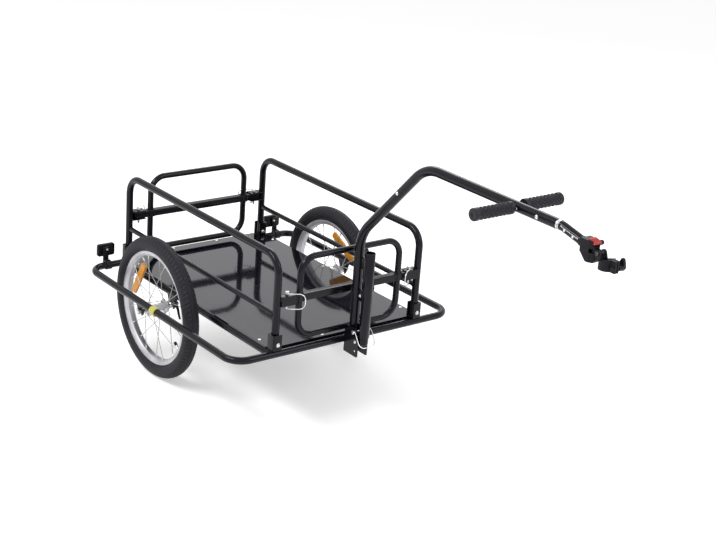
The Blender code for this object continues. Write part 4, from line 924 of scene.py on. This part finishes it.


# Bolts that show as bright dots on the arm and the stem, each a domed head on a washer, and along each side of the
# stem a thin bright strip that is a painted highlight streak.
armBolts = {"head": 0.0042, "height": 0.0026, "washer": 0.0050, "onArm": [(0.639, 0.679), (1.1160, None)],
            "onStem": [1.202, 1.2284], "stemHead": 0.0034, "highlightStrip": (1.188, 1.2435), "stripRise": 16,
            "stripWide": 0.0011, "stripThick": 0.0012, "barBolt": 1.0522, "barHead": 0.0024, "sink": 0.0004}


def addArmBolts(settings):
    high, sink = settings["height"], settings["sink"]
    turn = math.radians(settings["stripRise"])
    section = roundedRectangle(2 * settings["stripWide"], settings["stripThick"], sink, 3)
    x, z = onTopRun(settings["barBolt"])[[0, 2]]
    heads = [domeHead((x, s * (arm["tube"] - sink), z), (0, s, 0), settings["barHead"], 0.0022, slot=False)
             for s in (-1, 1)]
    highlightStrips = []
    for s in (-1, 1):
        side = np.array([0.0, s, 0.0])
        for x, z in settings["onArm"]:
            z = onTopRun(x)[2] if z is None else z
            heads += [washer((x, s * (arm["tube"] - 2 * sink), z), side, settings["washer"], 0.002, 0.0010),
                      domeHead((x, s * (arm["tube"] + 0.0001), z), side, settings["head"], high)]
        # Painted highlight: a thin bright strip on each side of the stem stands in for the highlight streak along it.
        out = math.cos(turn) * side + math.sin(turn) * np.cross(stemRun, (0, 1, 0))
        ends = [onStem(x) + out * (arm["stem"] + 0.0001) for x in settings["highlightStrip"]]
        highlightStrips.append(rodForm(*ends, 3, 1.0, np.cross(stemRun, out), section, edge=0.0004))
        heads += [domeHead(onStem(x) + side * (arm["stem"] - sink), side, settings["stemHead"], high + 0.0006,
                           slot=False) for x in settings["onStem"]]
    addPiece("armBolts", heads, zinc)
    addPiece("stemHighlightStrips", highlightStrips, spokeSteel)


addArmBolts(armBolts)


foot = {"rear": 0.4812, "front": 0.538, "low": (0.1990, 0.198), "top": 0.276, "sheet": 0.003, "web": 0.2185,
        "webLow": 0.2035, "bend": 0.004, "hole": (0.010, 0.016, 0.0025), "stud": (0.5270, 0.2397, 0.0046),
        "sleeve": 0.014, "sleeveTop": 0.489, "sleeveBottom": 0.255, "lugs": (0.364, 0.452), "lugWide": 0.008,
        "lugHigh": 0.030, "lugOverlap": 0.006, "boltHead": (0.0045, 0.0034), "leg": 0.012, "tip": 0.229,
        "legTop": 0.480}
foot["pin"] = (arm["x"] + 0.0265, 0.266)
foot["legX"] = arm["x"] + 0.0445
foot["half"] = foot["sleeve"] + fitGap + foot["sheet"] / 2


def addFoot(settings):
    (low, high), rear, front, top = settings["low"], settings["rear"], settings["front"], settings["top"]
    sheet, y = settings["sheet"], settings["half"]
    face = y + sheet / 2
    reach = base["tube"] + fitGap
    half = math.degrees(math.acos((rear - base["front"]) / reach))
    inX, inZ, holeR = settings["hole"]
    rounded = bentPath([(rear + 0.004, low, 0), (front, high, 0), (front, top - 0.026, 0), (front - 0.010, top, 0),
                        (rear + 0.012, top, 0), (rear, top - 0.014, 0), (rear, low, 0)], settings["bend"], 5)[:, :2]
    outline = np.concatenate([rounded[:-1], arcPoints((base["front"], base["height"]), reach, half, -half, 14),
                              rounded[-1:]])
    holes = [roundHole(settings["pin"], lock["pin"] + fitGap),
             roundHole((front - inX, high + inZ), holeR)]
    forms = [plateForm(outline, sheet, (0, s * y, 0), *upright, holes) for s in (-1, 1)]
    webHigh = settings["web"] - settings["webLow"]
    forms.append(blockForm((sheet, 2 * y, webHigh), (rear + sheet / 2, 0, settings["webLow"] + webHigh / 2), 0.0008))
    addPiece("footBracket", forms, enamel, replacing=["foot_bracket"], bevel=0.0004)
    studX, studZ, studR = settings["stud"]
    studs = [domeHead((studX, -face, studZ), (0, -1, 0), studR, 0.0024, slot=False)]
    studs += [domeHead((front - inX, s * face, high + inZ), (0, s, 0), 0.0024, 0.0010, slot=False) for s in (-1, 1)]
    addPiece("footStuds", studs, zinc)


def addFootPin(settings):
    face = settings["half"] + settings["sheet"] / 2
    pinX, pinZ = settings["pin"]
    at = np.array([pinX, -(face + fitGap + lock["headHeight"] / 2), pinZ])
    along = np.array([0.0, 1.0, 0.0])
    drop = math.radians(lock["footDrop"])
    out = np.array([math.cos(drop), 0, -math.sin(drop)])
    shank = 2 * face + lock["footTail"]
    addPiece("footPin", lockPin(lock, at, along, shank), zinc, replacing=["foot_pin"])
    bail = bailForm(lock, at, along, out, (0, 0, 1), lock["footReach"], shank, (0.31, 0.92, 0.23))
    addPiece("footBail", bail, wire, body="arm_bail", replacing=["foot_bail"])


def addLeg(settings):
    x, wall, r, wide = settings["legX"], settings["sleeve"], settings["leg"], settings["lugWide"]
    bore = r + fitGap
    low, high = settings["sleeveBottom"], settings["sleeveTop"]
    profile = [(bore, low + 0.0004), (bore + 0.0004, low), (wall - 0.0004, low), (wall, low + 0.0006),
               (wall, high - 0.0006), (wall - 0.0004, high), (bore + 0.0004, high), (bore, high - 0.0004)]
    back, front = arm["x"] + arm["tube"], x - wall
    size = (front - back + settings["lugOverlap"], wide, settings["lugHigh"])
    lugs = [blockForm(size, ((front + back) / 2, 0, z), 0.0012) for z in settings["lugs"]]
    addPiece("legSleeve", [turnedForm(profile, (x, 0, 0), (0, 0, 1), 48)] + lugs, enamel, replacing=["leg_sleeve"])
    bolt = [form(((back + front) / 2, s * (wide / 2 + fitGap), settings["lugs"][0]), (0, s, 0), *settings["boltHead"])
            for form, s in ((domeHead, -1), (hexHead, 1))]
    addPiece("sleeveBolt", bolt, zinc, replacing=["sleeve_bolt"])
    lean = np.radians(np.linspace(0, 90, 9))[:-1]
    tip = np.stack([r * np.cos(lean), settings["tip"] + r - r * np.sin(lean)], -1)
    leg = [(0, settings["legTop"]), (r - 0.0008, settings["legTop"]), (r, settings["legTop"] - 0.0008), *tip,
           (0, settings["tip"])]
    addPiece("parkingLeg", [turnedForm(leg, (x, 0, 0), (0, 0, 1), 40)], enamel, body="leg", replacing=["parking_leg"])


addFoot(foot)
addFootPin(foot)
addLeg(foot)
print("stage 5: pins, tow arm, handlebar, foot and leg")


hitch = {"yaw": 1.285, "height": 0.741, "nose": 0.011, "noseTurn": 80, "half": 0.014, "rear": 1.2545, "top": 0.763,
         "foot": 0.7145, "shoulder": 0.004, "brow": 0.7317, "heel": 0.012, "jawOut": 0.012, "jawBack": 0.010,
         "shallowBack": 0.0048, "corner": 0.0011, "yawPin": 0.004, "yawBore": 0.0043, "tongue": 0.009,
         "tongueHalf": 0.007, "pitch": 1.304, "barrel": 0.0065, "pin": 0.0025, "ear": 0.004, "earRadius": 0.0075,
         "clamp": 1.3235, "bore": 0.0127, "clampRadius": 0.0178, "clampZ": (0.7105, 0.7295), "slit": 0.003,
         "jaw": 0.005, "jawReach": 0.0305, "jawSoft": 0.001, "jawBolt": 0.0245, "jawRibs": (0.0175, 0.0218, 0.0261),
         "jawRib": 0.0011, "ribIn": 0.0012, "rise": 0.0085, "button": (0.020, 0.020, 0.0105), "buttonX": 1.284,
         "buttonFall": 0.006, "buttonFlat": 0.002, "buttonRib": (0.36, 0.0006), "proud": 0.0035, "travel": 0.0035,
         "knob": 0.0074, "wing": 0.0215, "wingThick": 0.007, "neck": 0.0124, "boss": (1.2845, 0.7555, 0.0058, 0.024)}


# Coupler slab: the coupler's side view is carried across from one side to the other, and each point's forward
# distance is held to the nose's plan, which is a circle round the yaw pin with a straight shoulder on each side.
def couplerSlab(settings, outline, low, high, steps):
    nose, turn = settings["nose"], math.radians(settings["noseTurn"])
    across = np.linspace(low, high, steps)
    turnY = nose * math.sin(turn)
    lean = (np.abs(across) - turnY) / (settings["half"] - turnY)
    furthest = settings["yaw"] + np.where(np.abs(across) < turnY, np.sqrt(np.maximum(nose ** 2 - across ** 2, 0)),
                                          nose * math.cos(turn) * (1 - lean) - settings["shoulder"] * lean)
    x = np.minimum(outline[None, :, 0], furthest[:, None])
    points = np.stack([x, across[:, None] + 0 * x, outline[None, :, 1] + 0 * x], -1)
    forms = [gridSurface(points)]
    for row, order in ((points[0], 1), (points[-1], -1)):
        corners = np.array(geometry.tessellate_polygon([[Vector((a, b, 0)) for a, b in row[:, [0, 2]]]]))
        forms.append((row, corners[:, ::order]))
    return forms


# Rounded loop: a closed flat outline with every corner swapped for an arc.
def roundedLoop(points, radius, steps=4):
    return bentPath([(a, b, 0) for a, b in points], radius, steps, closed=True)[:, :2]


def addCoupler(settings):
    yaw, z, high, back = settings["yaw"], settings["height"], settings["top"], settings["rear"]
    low, brow, side = settings["foot"], settings["brow"], settings["half"]
    slot = settings["tongue"] / 2 + fitGap
    out = yaw + settings["jawOut"]
    length, wide, deep = settings["button"]
    pocketBack = settings["buttonX"] - length / 2 - fitGap
    pocketFloor = high + settings["proud"] - deep - settings["travel"]
    rest = [(out, low + 0.008), (yaw + 0.006, low), (yaw - settings["heel"], low), (back + 0.002, brow),
            (back, brow + 0.001), (back, high)]
    deepMouth, shallowMouth = ([(out, z + slot), (yaw - inset, z + slot), (yaw - inset, z - slot), (out, z - slot)]
                               for inset in (settings["jawBack"], settings["shallowBack"]))
    cheek = roundedLoop(shallowMouth + rest + [(out, high)], settings["corner"])
    middle = roundedLoop(deepMouth + rest + [(pocketBack, high), (pocketBack, pocketFloor), (out, pocketFloor)],
                         settings["corner"])
    inner = wide / 2 + fitGap
    forms = (couplerSlab(settings, middle, -inner, inner, 33) + couplerSlab(settings, cheek, -side, -inner, 5)
             + couplerSlab(settings, cheek, inner, side, 5))
    addPiece("couplerBody", forms, plastic, replacing=["coupler_body"], bevel=0.0007)
    pin = straightPath((yaw, 0, z - slot - 0.003), (yaw, 0, z + slot + 0.003), 2)
    lip, bore = settings["neck"], arm["stem"] + arm["seam"]
    neck = [(bore, 0.002), (lip - 0.0008, 0.002), (lip, 0.0012), (lip, -0.0085), (lip - 0.0006, -0.0095),
            (bore, -0.0095)]
    bossX, bossZ, bossR, bossOut = settings["boss"]
    boss = [(0, bossOut), (bossR - 0.0022, bossOut), (bossR - 0.0006, bossOut - 0.0009), (bossR, bossOut - 0.0025),
            (bossR, 0.0106), (0, 0.0106)]
    forms = [swept(pin, settings["yawPin"], (1, 0, 0), sides=28), turnedForm(neck, onStem(back), stemRun, 48),
             turnedForm(boss, (bossX, 0, bossZ), (0, 1, 0), 36)]
    forms += [domeHead((x, s * (side - 0.0002), height), (0, s, 0), *size, slot=False) for s in (-1, 1)
              for x, height, size in ((back + 0.0075, z + 0.003, (0.0026, 0.0011)),
                                      (yaw - 0.0045, low + 0.008, (0.0022, 0.0010)))]
    addPiece("couplerPins", forms, plastic)


def addButton(settings):
    length, wide, deep = settings["button"]
    x, half, flat = settings["buttonX"], length / 2, settings["buttonFlat"]
    rest = settings["top"] + settings["proud"] - deep
    ribHalf, ribThick = settings["buttonRib"][0] * wide, settings["buttonRib"][1]
    lean = np.linspace(0, 1, 9)
    top = np.stack([flat - half + lean * (length - flat), deep - settings["buttonFall"] * lean ** 1.4], -1)
    side = np.concatenate([[(-half, 0), (half, 0)], top[[8, 5, 2, 0]], [(-half, deep)]])
    forms = [plateForm(roundedLoop(side, settings["corner"]), wide, (x, 0, rest), *upright)]
    forms += [rodForm((x + a, -ribHalf, rest + b), (x + a, ribHalf, rest + b), 2, ribThick, (0, 0, 1),
                    sides=10, edge=0.0003) for a, b in top[2:7]]
    addPiece("releaseButton", forms, buttonRed, body="button", replacing=["release_button"], bevel=0.0012)


def addYoke(settings):
    yaw, z, pitch, half = settings["yaw"], settings["height"], settings["pitch"], settings["tongueHalf"]
    plan = np.concatenate([arcPoints((yaw, 0), half, 90, 270, 14), [(pitch, -half), (pitch, half)]])
    tongue = plateForm(plan, settings["tongue"], (0, 0, z), *level,
                       [roundHole((yaw, 0), settings["yawBore"])])
    barrel = bandForm((pitch, 0, z), (0, 1, 0), settings["barrel"], 0, -half, half, 0.0008, 36)
    addPiece("swivelYoke", [tongue, barrel], plastic, body="swivel", replacing=["swivel_yoke"], bevel=0.0006)
    face = half + settings["ear"] + 2 * fitGap
    thin = settings["pin"]
    profile = [(0, face + 0.003), (0.0035, face + 0.003), (0.0047, face + 0.0022), (0.005, face + 0.0012),
               (0.005, face), (thin, face), (thin, -face), (0.005, -face), (0.005, -face - 0.0012),
               (0.0044, -face - 0.002), (0, -face - 0.002)]
    addPiece("hitchPin", [turnedForm(profile, (pitch, 0, z), (0, -1, 0), 36)], darkZinc, body="clamp",
             replacing=["hitch_pin"])


# Clamp: a split ring with two jaws in plan, its upper face lifted by a smooth step from the yoke's side to the jaws.
def addClamp(settings):
    z, pitch, cx = settings["height"], settings["pitch"], settings["clamp"]
    lowZ, highZ = settings["clampZ"]
    middle = (lowZ + highZ) / 2
    outer, bore, soft = settings["clampRadius"], settings["bore"], settings["jawSoft"]
    slit = settings["slit"] / 2
    jaw = slit + settings["jaw"]
    reach = cx + settings["jawReach"]
    gapAngle, jawAngle = (math.degrees(math.asin(ratio)) for ratio in (slit / bore, jaw / outer))
    ring = np.concatenate([arcPoints((cx, 0), outer, jawAngle, 360 - jawAngle, 48),
                           [(reach - soft, -jaw), (reach, -jaw + soft), (reach, -slit)],
                           arcPoints((cx, 0), bore, 360 - gapAngle, gapAngle, 48),
                           [(reach, slit), (reach, jaw - soft), (reach - soft, jaw)]])
    points, faces = plateForm(ring, highZ - lowZ, (0, 0, middle), *level)
    lift = smoothStep(points[:, 0], cx - outer * 0.6, cx + outer) * settings["rise"]
    points[:, 2] += np.where(points[:, 2] > middle, lift, 0)
    down = highZ - z - 0.004
    ear = np.concatenate([arcPoints((0, 0), settings["earRadius"], 20, 180, 14),
                          [(-settings["earRadius"], -0.004), (-0.0035, down), (0.012, down), (0.012, down + 0.0035)]])
    earY = settings["tongueHalf"] + fitGap + settings["ear"] / 2
    hole = roundHole((0, 0), settings["pin"] + fitGap)
    forms = [(points, faces)]
    for s in (-1, 1):
        forms.append(plateForm(ear, settings["ear"], (pitch, s * earY, z), *upright, [hole]))
        for x in settings["jawRibs"]:
            rib = straightPath((cx + x, s * jaw, lowZ + settings["ribIn"]),
                               (cx + x, s * jaw, highZ - settings["ribIn"] + settings["rise"]), 2)
            forms.append(swept(rib, settings["jawRib"], (1, 0, 0), sides=14))
    addPiece("seatPostClamp", forms, plastic, body="clamp", replacing=["seatpost_clamp"], bevel=0.0006)

    face = jaw + fitGap
    thick, long, r = settings["wingThick"], settings["wing"], settings["knob"]
    wingY = outer + 0.0005 + thick / 2
    end = wingY + thick / 2 + 0.003
    at = np.array([cx + settings["jawBolt"], 0, middle])
    hub = turnedForm([(0, end), (r - 0.002, end), (r - 0.0006, end - 0.0006), (r, end - 0.002), (r, face + 0.0004),
                      (r - 0.0004, face), (0.0025, face), (0.0025, -face), (0.0055, -face), (0.0055, -face - 0.0032),
                      (0.0047, -face - 0.004), (0, -face - 0.004)], at, (0, 1, 0), 36)
    outline = roundedLoop([(-0.0062, 0), (-0.0070, long - 0.012), (-0.0015, long), (0.0040, long - 0.003),
                           (0.0078, long - 0.014), (0.0062, 0), (0.0050, -0.0075), (-0.0050, -0.0075)], 0.0022)
    wing = plateForm(outline, thick, at + (0, wingY, 0), *upright)
    addPiece("clampKnob", [hub, wing], plastic, body="knob", replacing=["clamp_knob"], bevel=0.0008)


addCoupler(hitch)
addButton(hitch)
addYoke(hitch)
addClamp(hitch)


trim = {"reflector": (0.011, 0.054, 0.036), "caseCorner": 0.006, "lensIn": 0.005, "lensCorner": 0.004,
        "lensThick": 0.004, "x": -0.306, "side": 0.292, "height": 0.2695, "clipSide": 0.2970, "clipWide": 0.018,
        "clip": 0.0025, "stemRise": 0.012, "stemBack": 0.004, "screw": (0.0034, 0.0018), "sleeveX": 0.085,
        "sleeveLong": 0.024, "sleeve": 0.0125}


def addTrim(settings):
    depth, wide, high = settings["reflector"]
    x, z, r, low = settings["x"], settings["height"], base["tube"], base["height"]
    clip, clipWide = settings["clip"], settings["clipWide"]
    stemTop = z + settings["stemRise"]
    stemX = (base["rear"] + x + depth / 2) / 2 - settings["stemBack"]
    for label, s in sideSigns.items():
        y = s * settings["side"]
        clipY = s * settings["clipSide"]
        case, lens = (rodForm((start, y, z), (end, y, z), steps, 1.0, (0, 1, 0),
                            roundedRectangle(wide - inset, high - inset, corner, 8), edge=edge)
                      for start, end, steps, inset, corner, edge in (
                          (x - depth / 2 + 0.0012, x + depth / 2, 3, 0, settings["caseCorner"], 0.0016),
                          (x - depth / 2, x - depth / 2 + settings["lensThick"], 2, settings["lensIn"],
                           settings["lensCorner"], 0.0008)))
        band = bandForm((base["rear"], clipY, low), (0, 1, 0), r + fitGap + clip, r + fitGap, -clipWide / 2,
                        clipWide / 2, 0.0006)
        stem = blockForm((clip + 0.002, clipWide - 0.001, stemTop - low), (stemX, clipY, (stemTop + low) / 2), 0.0008)
        shoe = blockForm((base["rear"] - stemX, clipWide - 0.002, 0.006),
                         ((base["rear"] + stemX) / 2, clipY, low + r + clip - 0.0015), 0.0008)
        neck = blockForm((stemX - x, clipWide - 0.003, 0.010), ((stemX + x) / 2, clipY, stemTop - 0.007), 0.0008)
        addPiece("reflectorCase_" + label, [case, band, stem, shoe, neck], plastic,
                 replacing=["rear_reflector_" + label])
        addPiece("reflectorLens_" + label, [lens], redLens)
        screwAt = (stemX + clip / 2 + 0.0008, y + s * 0.0008, z + 0.0035)
        addPiece("reflectorScrew_" + label, [domeHead(screwAt, (1, 0, 0), *settings["screw"])], zinc)
        half, outer, bore = settings["sleeveLong"] / 2, settings["sleeve"], r + 0.0002
        profile = [(bore, half), (outer - 0.0012, half), (outer - 0.0003, half - 0.0006), (outer, half - 0.0018),
                   (outer, 0.0016 - half), (outer - 0.0003, 0.0006 - half), (outer - 0.0012, -half), (bore, -half)]
        sleeve = turnedForm(profile, (settings["sleeveX"], s * base["side"], low), (1, 0, 0), 40)
        addPiece("tubeSleeve_" + label, [sleeve], lime, replacing=["tube_sleeve_" + label])


addTrim(trim)
print("stage 6: hitch, reflectors and sleeves")


wheel = {"radius": 0.200, "side": 0.300, "tyreWide": 0.044, "rim": 0.161, "rimInner": 0.146, "rimWide": 0.027,
         "rimWall": 0.0018, "rimBed": 0.005, "nose": 0.014, "spokes": 20, "spoke": 0.0010, "sweep": 60,
         "spokeHead": (0.0019, 0.0013), "elbow": (0.0009, 0.0016), "hubHoles": 0.0165, "flange": 0.020,
         "flangeSide": 0.025, "flangeThick": 0.004, "barrel": 0.011, "hubEnd": 0.036, "axle": 0.005, "bore": 0.0005,
         "cone": 0.008, "coneGap": 0.0005, "axleBore": 0.0029, "pitches": 96, "steps": 10, "treadDeep": 0.0017,
         "bead": 126, "crown": 78, "groove": 17, "waveWide": 2.6, "leanCut": 0.010, "sipeDeep": 0.7,
         "lineDeep": 0.00035, "lines": 90, "ribHigh": 0.0008, "valveTurn": -34.0}


# One inside a band of the two given edges and none outside it, with smooth steps.
def softBand(value, low, lowEnd, highEnd, high):
    return smoothStep(value, low, lowEnd) * (1 - smoothStep(value, highEnd, high))


# Tyre: the section's half-turn goes round the wheel; the crown sinks where the tread's grooves are. Two grooves run
# round it, waving from side to side, and slanted grooves part the shoulder into blocks; fine ribs ring the sidewall.
def tyreForm(settings, s):
    around = settings["pitches"] * settings["steps"]
    ring = circle(around)
    half = settings["tyreWide"] / 2
    bead, crown = settings["bead"], settings["crown"]
    across = np.concatenate([np.linspace(bead, crown, 12)[:-1], np.linspace(crown, -crown, 57),
                             np.linspace(-crown, -bead, 12)[1:]])[None]
    lean = np.radians(across)
    off = np.abs(across)
    phase = np.linspace(0, settings["pitches"], around, endpoint=False)[:, None]
    wave = settings["waveWide"] * np.sin(phase * 2 * np.pi)
    ringGroove = 1 - smoothStep(np.abs(off - settings["groove"] - wave), 2.0, 4.2)
    slant = (phase + settings["leanCut"] * off + np.where(across > 0, 0.5, 0.0)) % 1.0
    crossCut = (1 - smoothStep(np.abs(slant - 0.5), 0.09, 0.17)) * softBand(off, 19, 23, 58, 66)
    sipe = 1 - smoothStep(np.abs((phase * 2) % 1.0 - 0.5), 0.05, 0.11)
    sipe = sipe * (1 - smoothStep(off, 9, 12)) * settings["sipeDeep"]
    depth = settings["treadDeep"] * np.maximum(np.maximum(ringGroove, crossCut), sipe)
    depth = depth * (1 - smoothStep(off, 60, 70))
    lines = 0.5 - 0.5 * np.cos(lean * settings["lines"])
    depth = depth + smoothStep(off, 68, 76) * settings["lineDeep"] * lines
    depth = depth - settings["ribHigh"] * softBand(off, 104, 107, 111, 114)
    r = settings["radius"] - half + (half - depth) * np.cos(lean)
    y = (half - depth) * np.sin(lean)
    foot = np.broadcast_to([settings["rim"] - settings["rimBed"] + fitGap, settings["rim"] + fitGap], (around, 2))
    side = np.full((around, 2), settings["rimWide"] / 2 - settings["rimWall"] - fitGap)
    r = np.concatenate([foot, r, foot[:, ::-1]], 1)
    points = np.stack([r * ring[:, :1], np.concatenate([side, y, -side], 1), r * ring[:, 1:]], -1)
    return gridSurface(points + np.array([0, s * settings["side"], settings["radius"]]), closeRows=True)


# The profile's other half: the same points in return order on the other side of the middle plane.
def mirrored(half):
    return half + [(r, -y) for r, y in reversed(half)]


# Rim: a double-walled section, from the tyre's bed over the hooked flange and down the side to the spoke bed.
def rimProfile(settings):
    flange, nose = settings["rimWide"] / 2, settings["nose"] / 2
    bed = flange - settings["rimWall"]
    rim, inner = settings["rim"], settings["rimInner"]
    deep = rim - settings["rimBed"]
    return mirrored([(deep, bed - 0.0008), (deep + 0.0008, bed), (rim - 0.0004, bed), (rim, bed + 0.0008),
                     (rim, flange - 0.0006), (rim - 0.0004, flange - 0.0002), (rim - 0.0008, flange),
                     (rim - 0.0016, flange - 0.0003), (rim - 0.0024, flange), (rim - 0.0078, flange),
                     (rim - 0.0088, flange - 0.0004), (inner + 0.0016, nose + 0.0012),
                     (inner + 0.0004, nose + 0.0002), (inner, nose - 0.0012)])


# Spoke ends: the rim holes stand at equal angles, and each hub hole is swept from its rim hole by the same angle,
# forwards and backwards in turn, on the flange of its side.
def spokeEnds(settings, index):
    outer = (settings["rimInner"] + settings["rim"] - settings["rimBed"]) / 2
    holes = settings["hubHoles"]
    flange = 1 if index % 2 else -1
    sweep = 1 if index % 4 < 2 else -1
    rimAngle = 2 * math.pi * index / settings["spokes"]
    hubAngle = rimAngle + math.radians(settings["sweep"]) * sweep
    hubY = flange * settings["flangeSide"] + sweep * settings["flangeThick"] / 2
    return (np.array([holes * math.cos(hubAngle), hubY, holes * math.sin(hubAngle)]),
            np.array([outer * math.cos(rimAngle), flange * settings["nose"] / 6, outer * math.sin(rimAngle)]),
            np.array([0.0, sweep, 0.0]))


def addWheel(settings, label, s, centre):
    body = label + "_wheel"
    addPiece("tyre_" + label + "_tread", [tyreForm(settings, s)], tyreRubber, body, ["tyre_" + label], sharp=50)
    addPiece("rim_" + label, [turnedForm(rimProfile(settings), centre, (0, 1, 0), 192)], alloy, body,
             ["wheel_" + label])
    bore = settings["axle"] + settings["bore"]
    low = settings["flangeSide"] - settings["flangeThick"] / 2
    high = low + settings["flangeThick"]
    flange, barrel, end = settings["flange"], settings["barrel"], settings["hubEnd"]
    half = [(bore, end - 0.001), (bore + 0.001, end), (barrel + 0.0006, end), (barrel + 0.001, end - 0.0006),
            (barrel + 0.0016, high + 0.003), (barrel + 0.0032, high + 0.0006), (barrel + 0.0045, high),
            (flange - 0.0008, high), (flange, high - 0.0008), (flange, low + 0.0008), (flange - 0.0008, low),
            (barrel + 0.003, low), (barrel + 0.0006, low - 0.0016), (barrel - 0.0004, low - 0.006),
            (barrel - 0.0010, 0.004)]
    addPiece("hubShell_" + label, [turnedForm(mirrored(half), centre, (0, 1, 0), 96)], alloy, body)
    nipple = [(0, -0.003), (0.0022, -0.003), (0.0022, 0.0010), (0.0018, 0.0016), (0.0018, 0.0088), (0.0014, 0.0100),
              (0, 0.0100)]
    elbowOut, elbowBend = settings["elbow"]
    spokes, nipples = [], []
    for index in range(settings["spokes"]):
        start, end, outwards = spokeEnds(settings, index)
        headAt = start - outwards * (settings["flangeThick"] + 0.0002)
        path = bentPath([headAt, start + outwards * elbowOut, end], elbowBend, 5) + centre
        spokes += [swept(path, settings["spoke"], (0.21, 0.33, 0.92), sides=10, edge=0.0002),
                   domeHead(headAt + centre, -outwards, *settings["spokeHead"], 12, slot=False)]
        inward = unit(start - end)
        tip = end + inward * (np.linalg.norm(end[[0, 2]]) - settings["rimInner"])
        nipples.append(turnedForm(nipple, tip + centre, inward, 10))
    addPiece("spokes_" + label, spokes, spokeSteel, body)
    addPiece("nipples_" + label, nipples, zinc, body)
    turn = math.radians(settings["valveTurn"])
    inward = -np.array([math.cos(turn), 0, math.sin(turn)])
    root = centre - inward * settings["rimInner"]
    stem = [(0, 0), (0.0032, 0), (0.0032, 0.016), (0.0030, 0.0165), (0, 0.0165)]
    nut = [(0, -0.004), (0.0042, -0.004), (0.0042, 0.0015), (0.0058, 0.0016), (0.0058, 0.0036), (0.0052, 0.0042),
           (0, 0.0042)]
    cap = [(0, 0.0162), (0.0040, 0.0162), (0.0043, 0.0170), (0.0043, 0.0245), (0.0036, 0.0262), (0, 0.0265)]
    addPiece("valveStem_" + label, [turnedForm(form, root, inward, 20) for form in (stem, nut)], zinc, body)
    addPiece("valveCap_" + label, [turnedForm(cap, root, inward, 24)], plastic, body)


def addAxle(settings, label, centre):
    inner = base["hangerSpan"] / 2
    start, seat, end = settings["hubEnd"] + settings["coneGap"], inner - fitGap, inner + base["hangerThick"] * 0.8
    axle, cone = settings["axle"], settings["cone"]
    half = [(settings["axleBore"], end), (axle - 0.0004, end), (axle, end - 0.0004), (axle, seat),
            (cone - 0.0006, seat), (cone, seat - 0.0006), (cone, start + 0.0062), (cone - 0.0012, start + 0.0056),
            (cone - 0.0012, start + 0.0046), (cone, start + 0.004), (axle, start)]
    addPiece("hubAxle_" + label, [turnedForm(mirrored(half), centre, (0, 1, 0), 40)], zinc,
             replacing=["axle_" + label])


lever = {"slant": 30, "length": 0.046, "pin": 0.0020, "thick": 0.006, "eye": 0.006, "cheek": 0.0022,
         "cheekWide": 0.0058, "skewer": 0.0025, "cap": 0.003}


# Skewer: its nut and rod are one turned form, and two cheeks and a pin at its inner end hold the lever.
def addLever(settings, label, s, centre):
    at, rod = base["hangerSpan"] / 2 + base["hangerThick"] + fitGap, settings["skewer"]
    profile = [(0, at + 0.0125), (0.0052, at + 0.0125), (0.0062, at + 0.0118), (0.0084, at + 0.0098),
               (0.0085, at + 0.0092), (0.0085, at + 0.0006), (0.0080, at), (rod, at), (rod, -at), (0.0080, -at),
               (0.0085, -at - 0.0005), (0.0085, -at - 0.0025), (0.0080, -at - settings["cap"]),
               (0, -at - settings["cap"])]
    eye, thick, wide = settings["eye"], settings["thick"], settings["cheekWide"]
    inward = np.array([0.0, -s, 0.0])
    pivot = centre + inward * (at + settings["cap"] + eye + 0.0005)
    slant = math.radians(settings["slant"])
    axis = np.array([math.cos(slant), 0, math.sin(slant)])
    down = np.array([math.sin(slant), 0, -math.cos(slant)])
    cheek = np.concatenate([arcPoints((0, 0), wide, 0, 180, 14), [(-wide, -eye - 0.002), (wide, -eye - 0.002)]])
    reach = thick / 2 + fitGap + settings["cheek"] / 2
    pinEnd = axis * (reach + 0.0010)
    forms = [turnedForm(profile, centre, (0, s, 0), 40),
             rodForm(pivot - pinEnd, pivot + pinEnd, 2, settings["pin"], inward, sides=20)]
    forms += [plateForm(cheek, settings["cheek"], pivot + axis * reach * way, np.cross(axis, inward), inward)
              for way in (-1, 1)]
    addPiece("skewerRod_" + label, forms, zinc, replacing=["skewer_" + label], bevel=0.0003)
    tip = settings["length"]
    outline = np.concatenate([arcPoints((0, 0), eye, 300, 40, 20),
                              [(tip * 0.35, 0.0042), (tip * 0.75, 0.0024), (tip, 0.0022), (tip, -0.0012),
                               (tip * 0.75, -0.0020), (tip * 0.35, -0.0012)]])
    blade = plateForm(outline, thick, pivot, down, inward,
                      [roundHole((0, 0), settings["pin"] + fitGap)])
    addPiece("leverBlade_" + label, [blade], plastic, label + "_lever", ["quick_release_lever_" + label],
             bevel=0.0010)


spokeReflector = {"middle": 0.111, "long": 0.110, "wide": 0.024, "tip": 0.019, "thick": 0.006, "corner": 0.005,
                  "turn": {"right": 151.5, "left": 61.5}}


def addSpokeReflector(settings, label, centre):
    turn = math.radians(settings["turn"][label])
    outwards = np.array([math.cos(turn), 0, math.sin(turn)])
    sideways = np.array([-math.sin(turn), 0, math.cos(turn)])
    half, wide, tip = settings["long"] / 2, settings["wide"] / 2, settings["tip"] / 2
    outline = roundedLoop([(-half, -tip), (0, -wide), (half, -tip), (half, tip), (0, wide), (-half, tip)],
                          settings["corner"], 6)
    block = plateForm(outline, settings["thick"], centre + outwards * settings["middle"], sideways, outwards)
    addPiece("wheelReflector_" + label, [block], amberLens, label + "_wheel", ["spoke_reflector_" + label],
             bevel=0.0012)


for label, s in sideSigns.items():
    centre = np.array([0, s * wheel["side"], wheel["radius"]])
    addWheel(wheel, label, s, centre)
    addAxle(wheel, label, centre)
    addLever(lever, label, s, centre)
    addSpokeReflector(spokeReflector, label, centre)
print("stage 7: wheels")
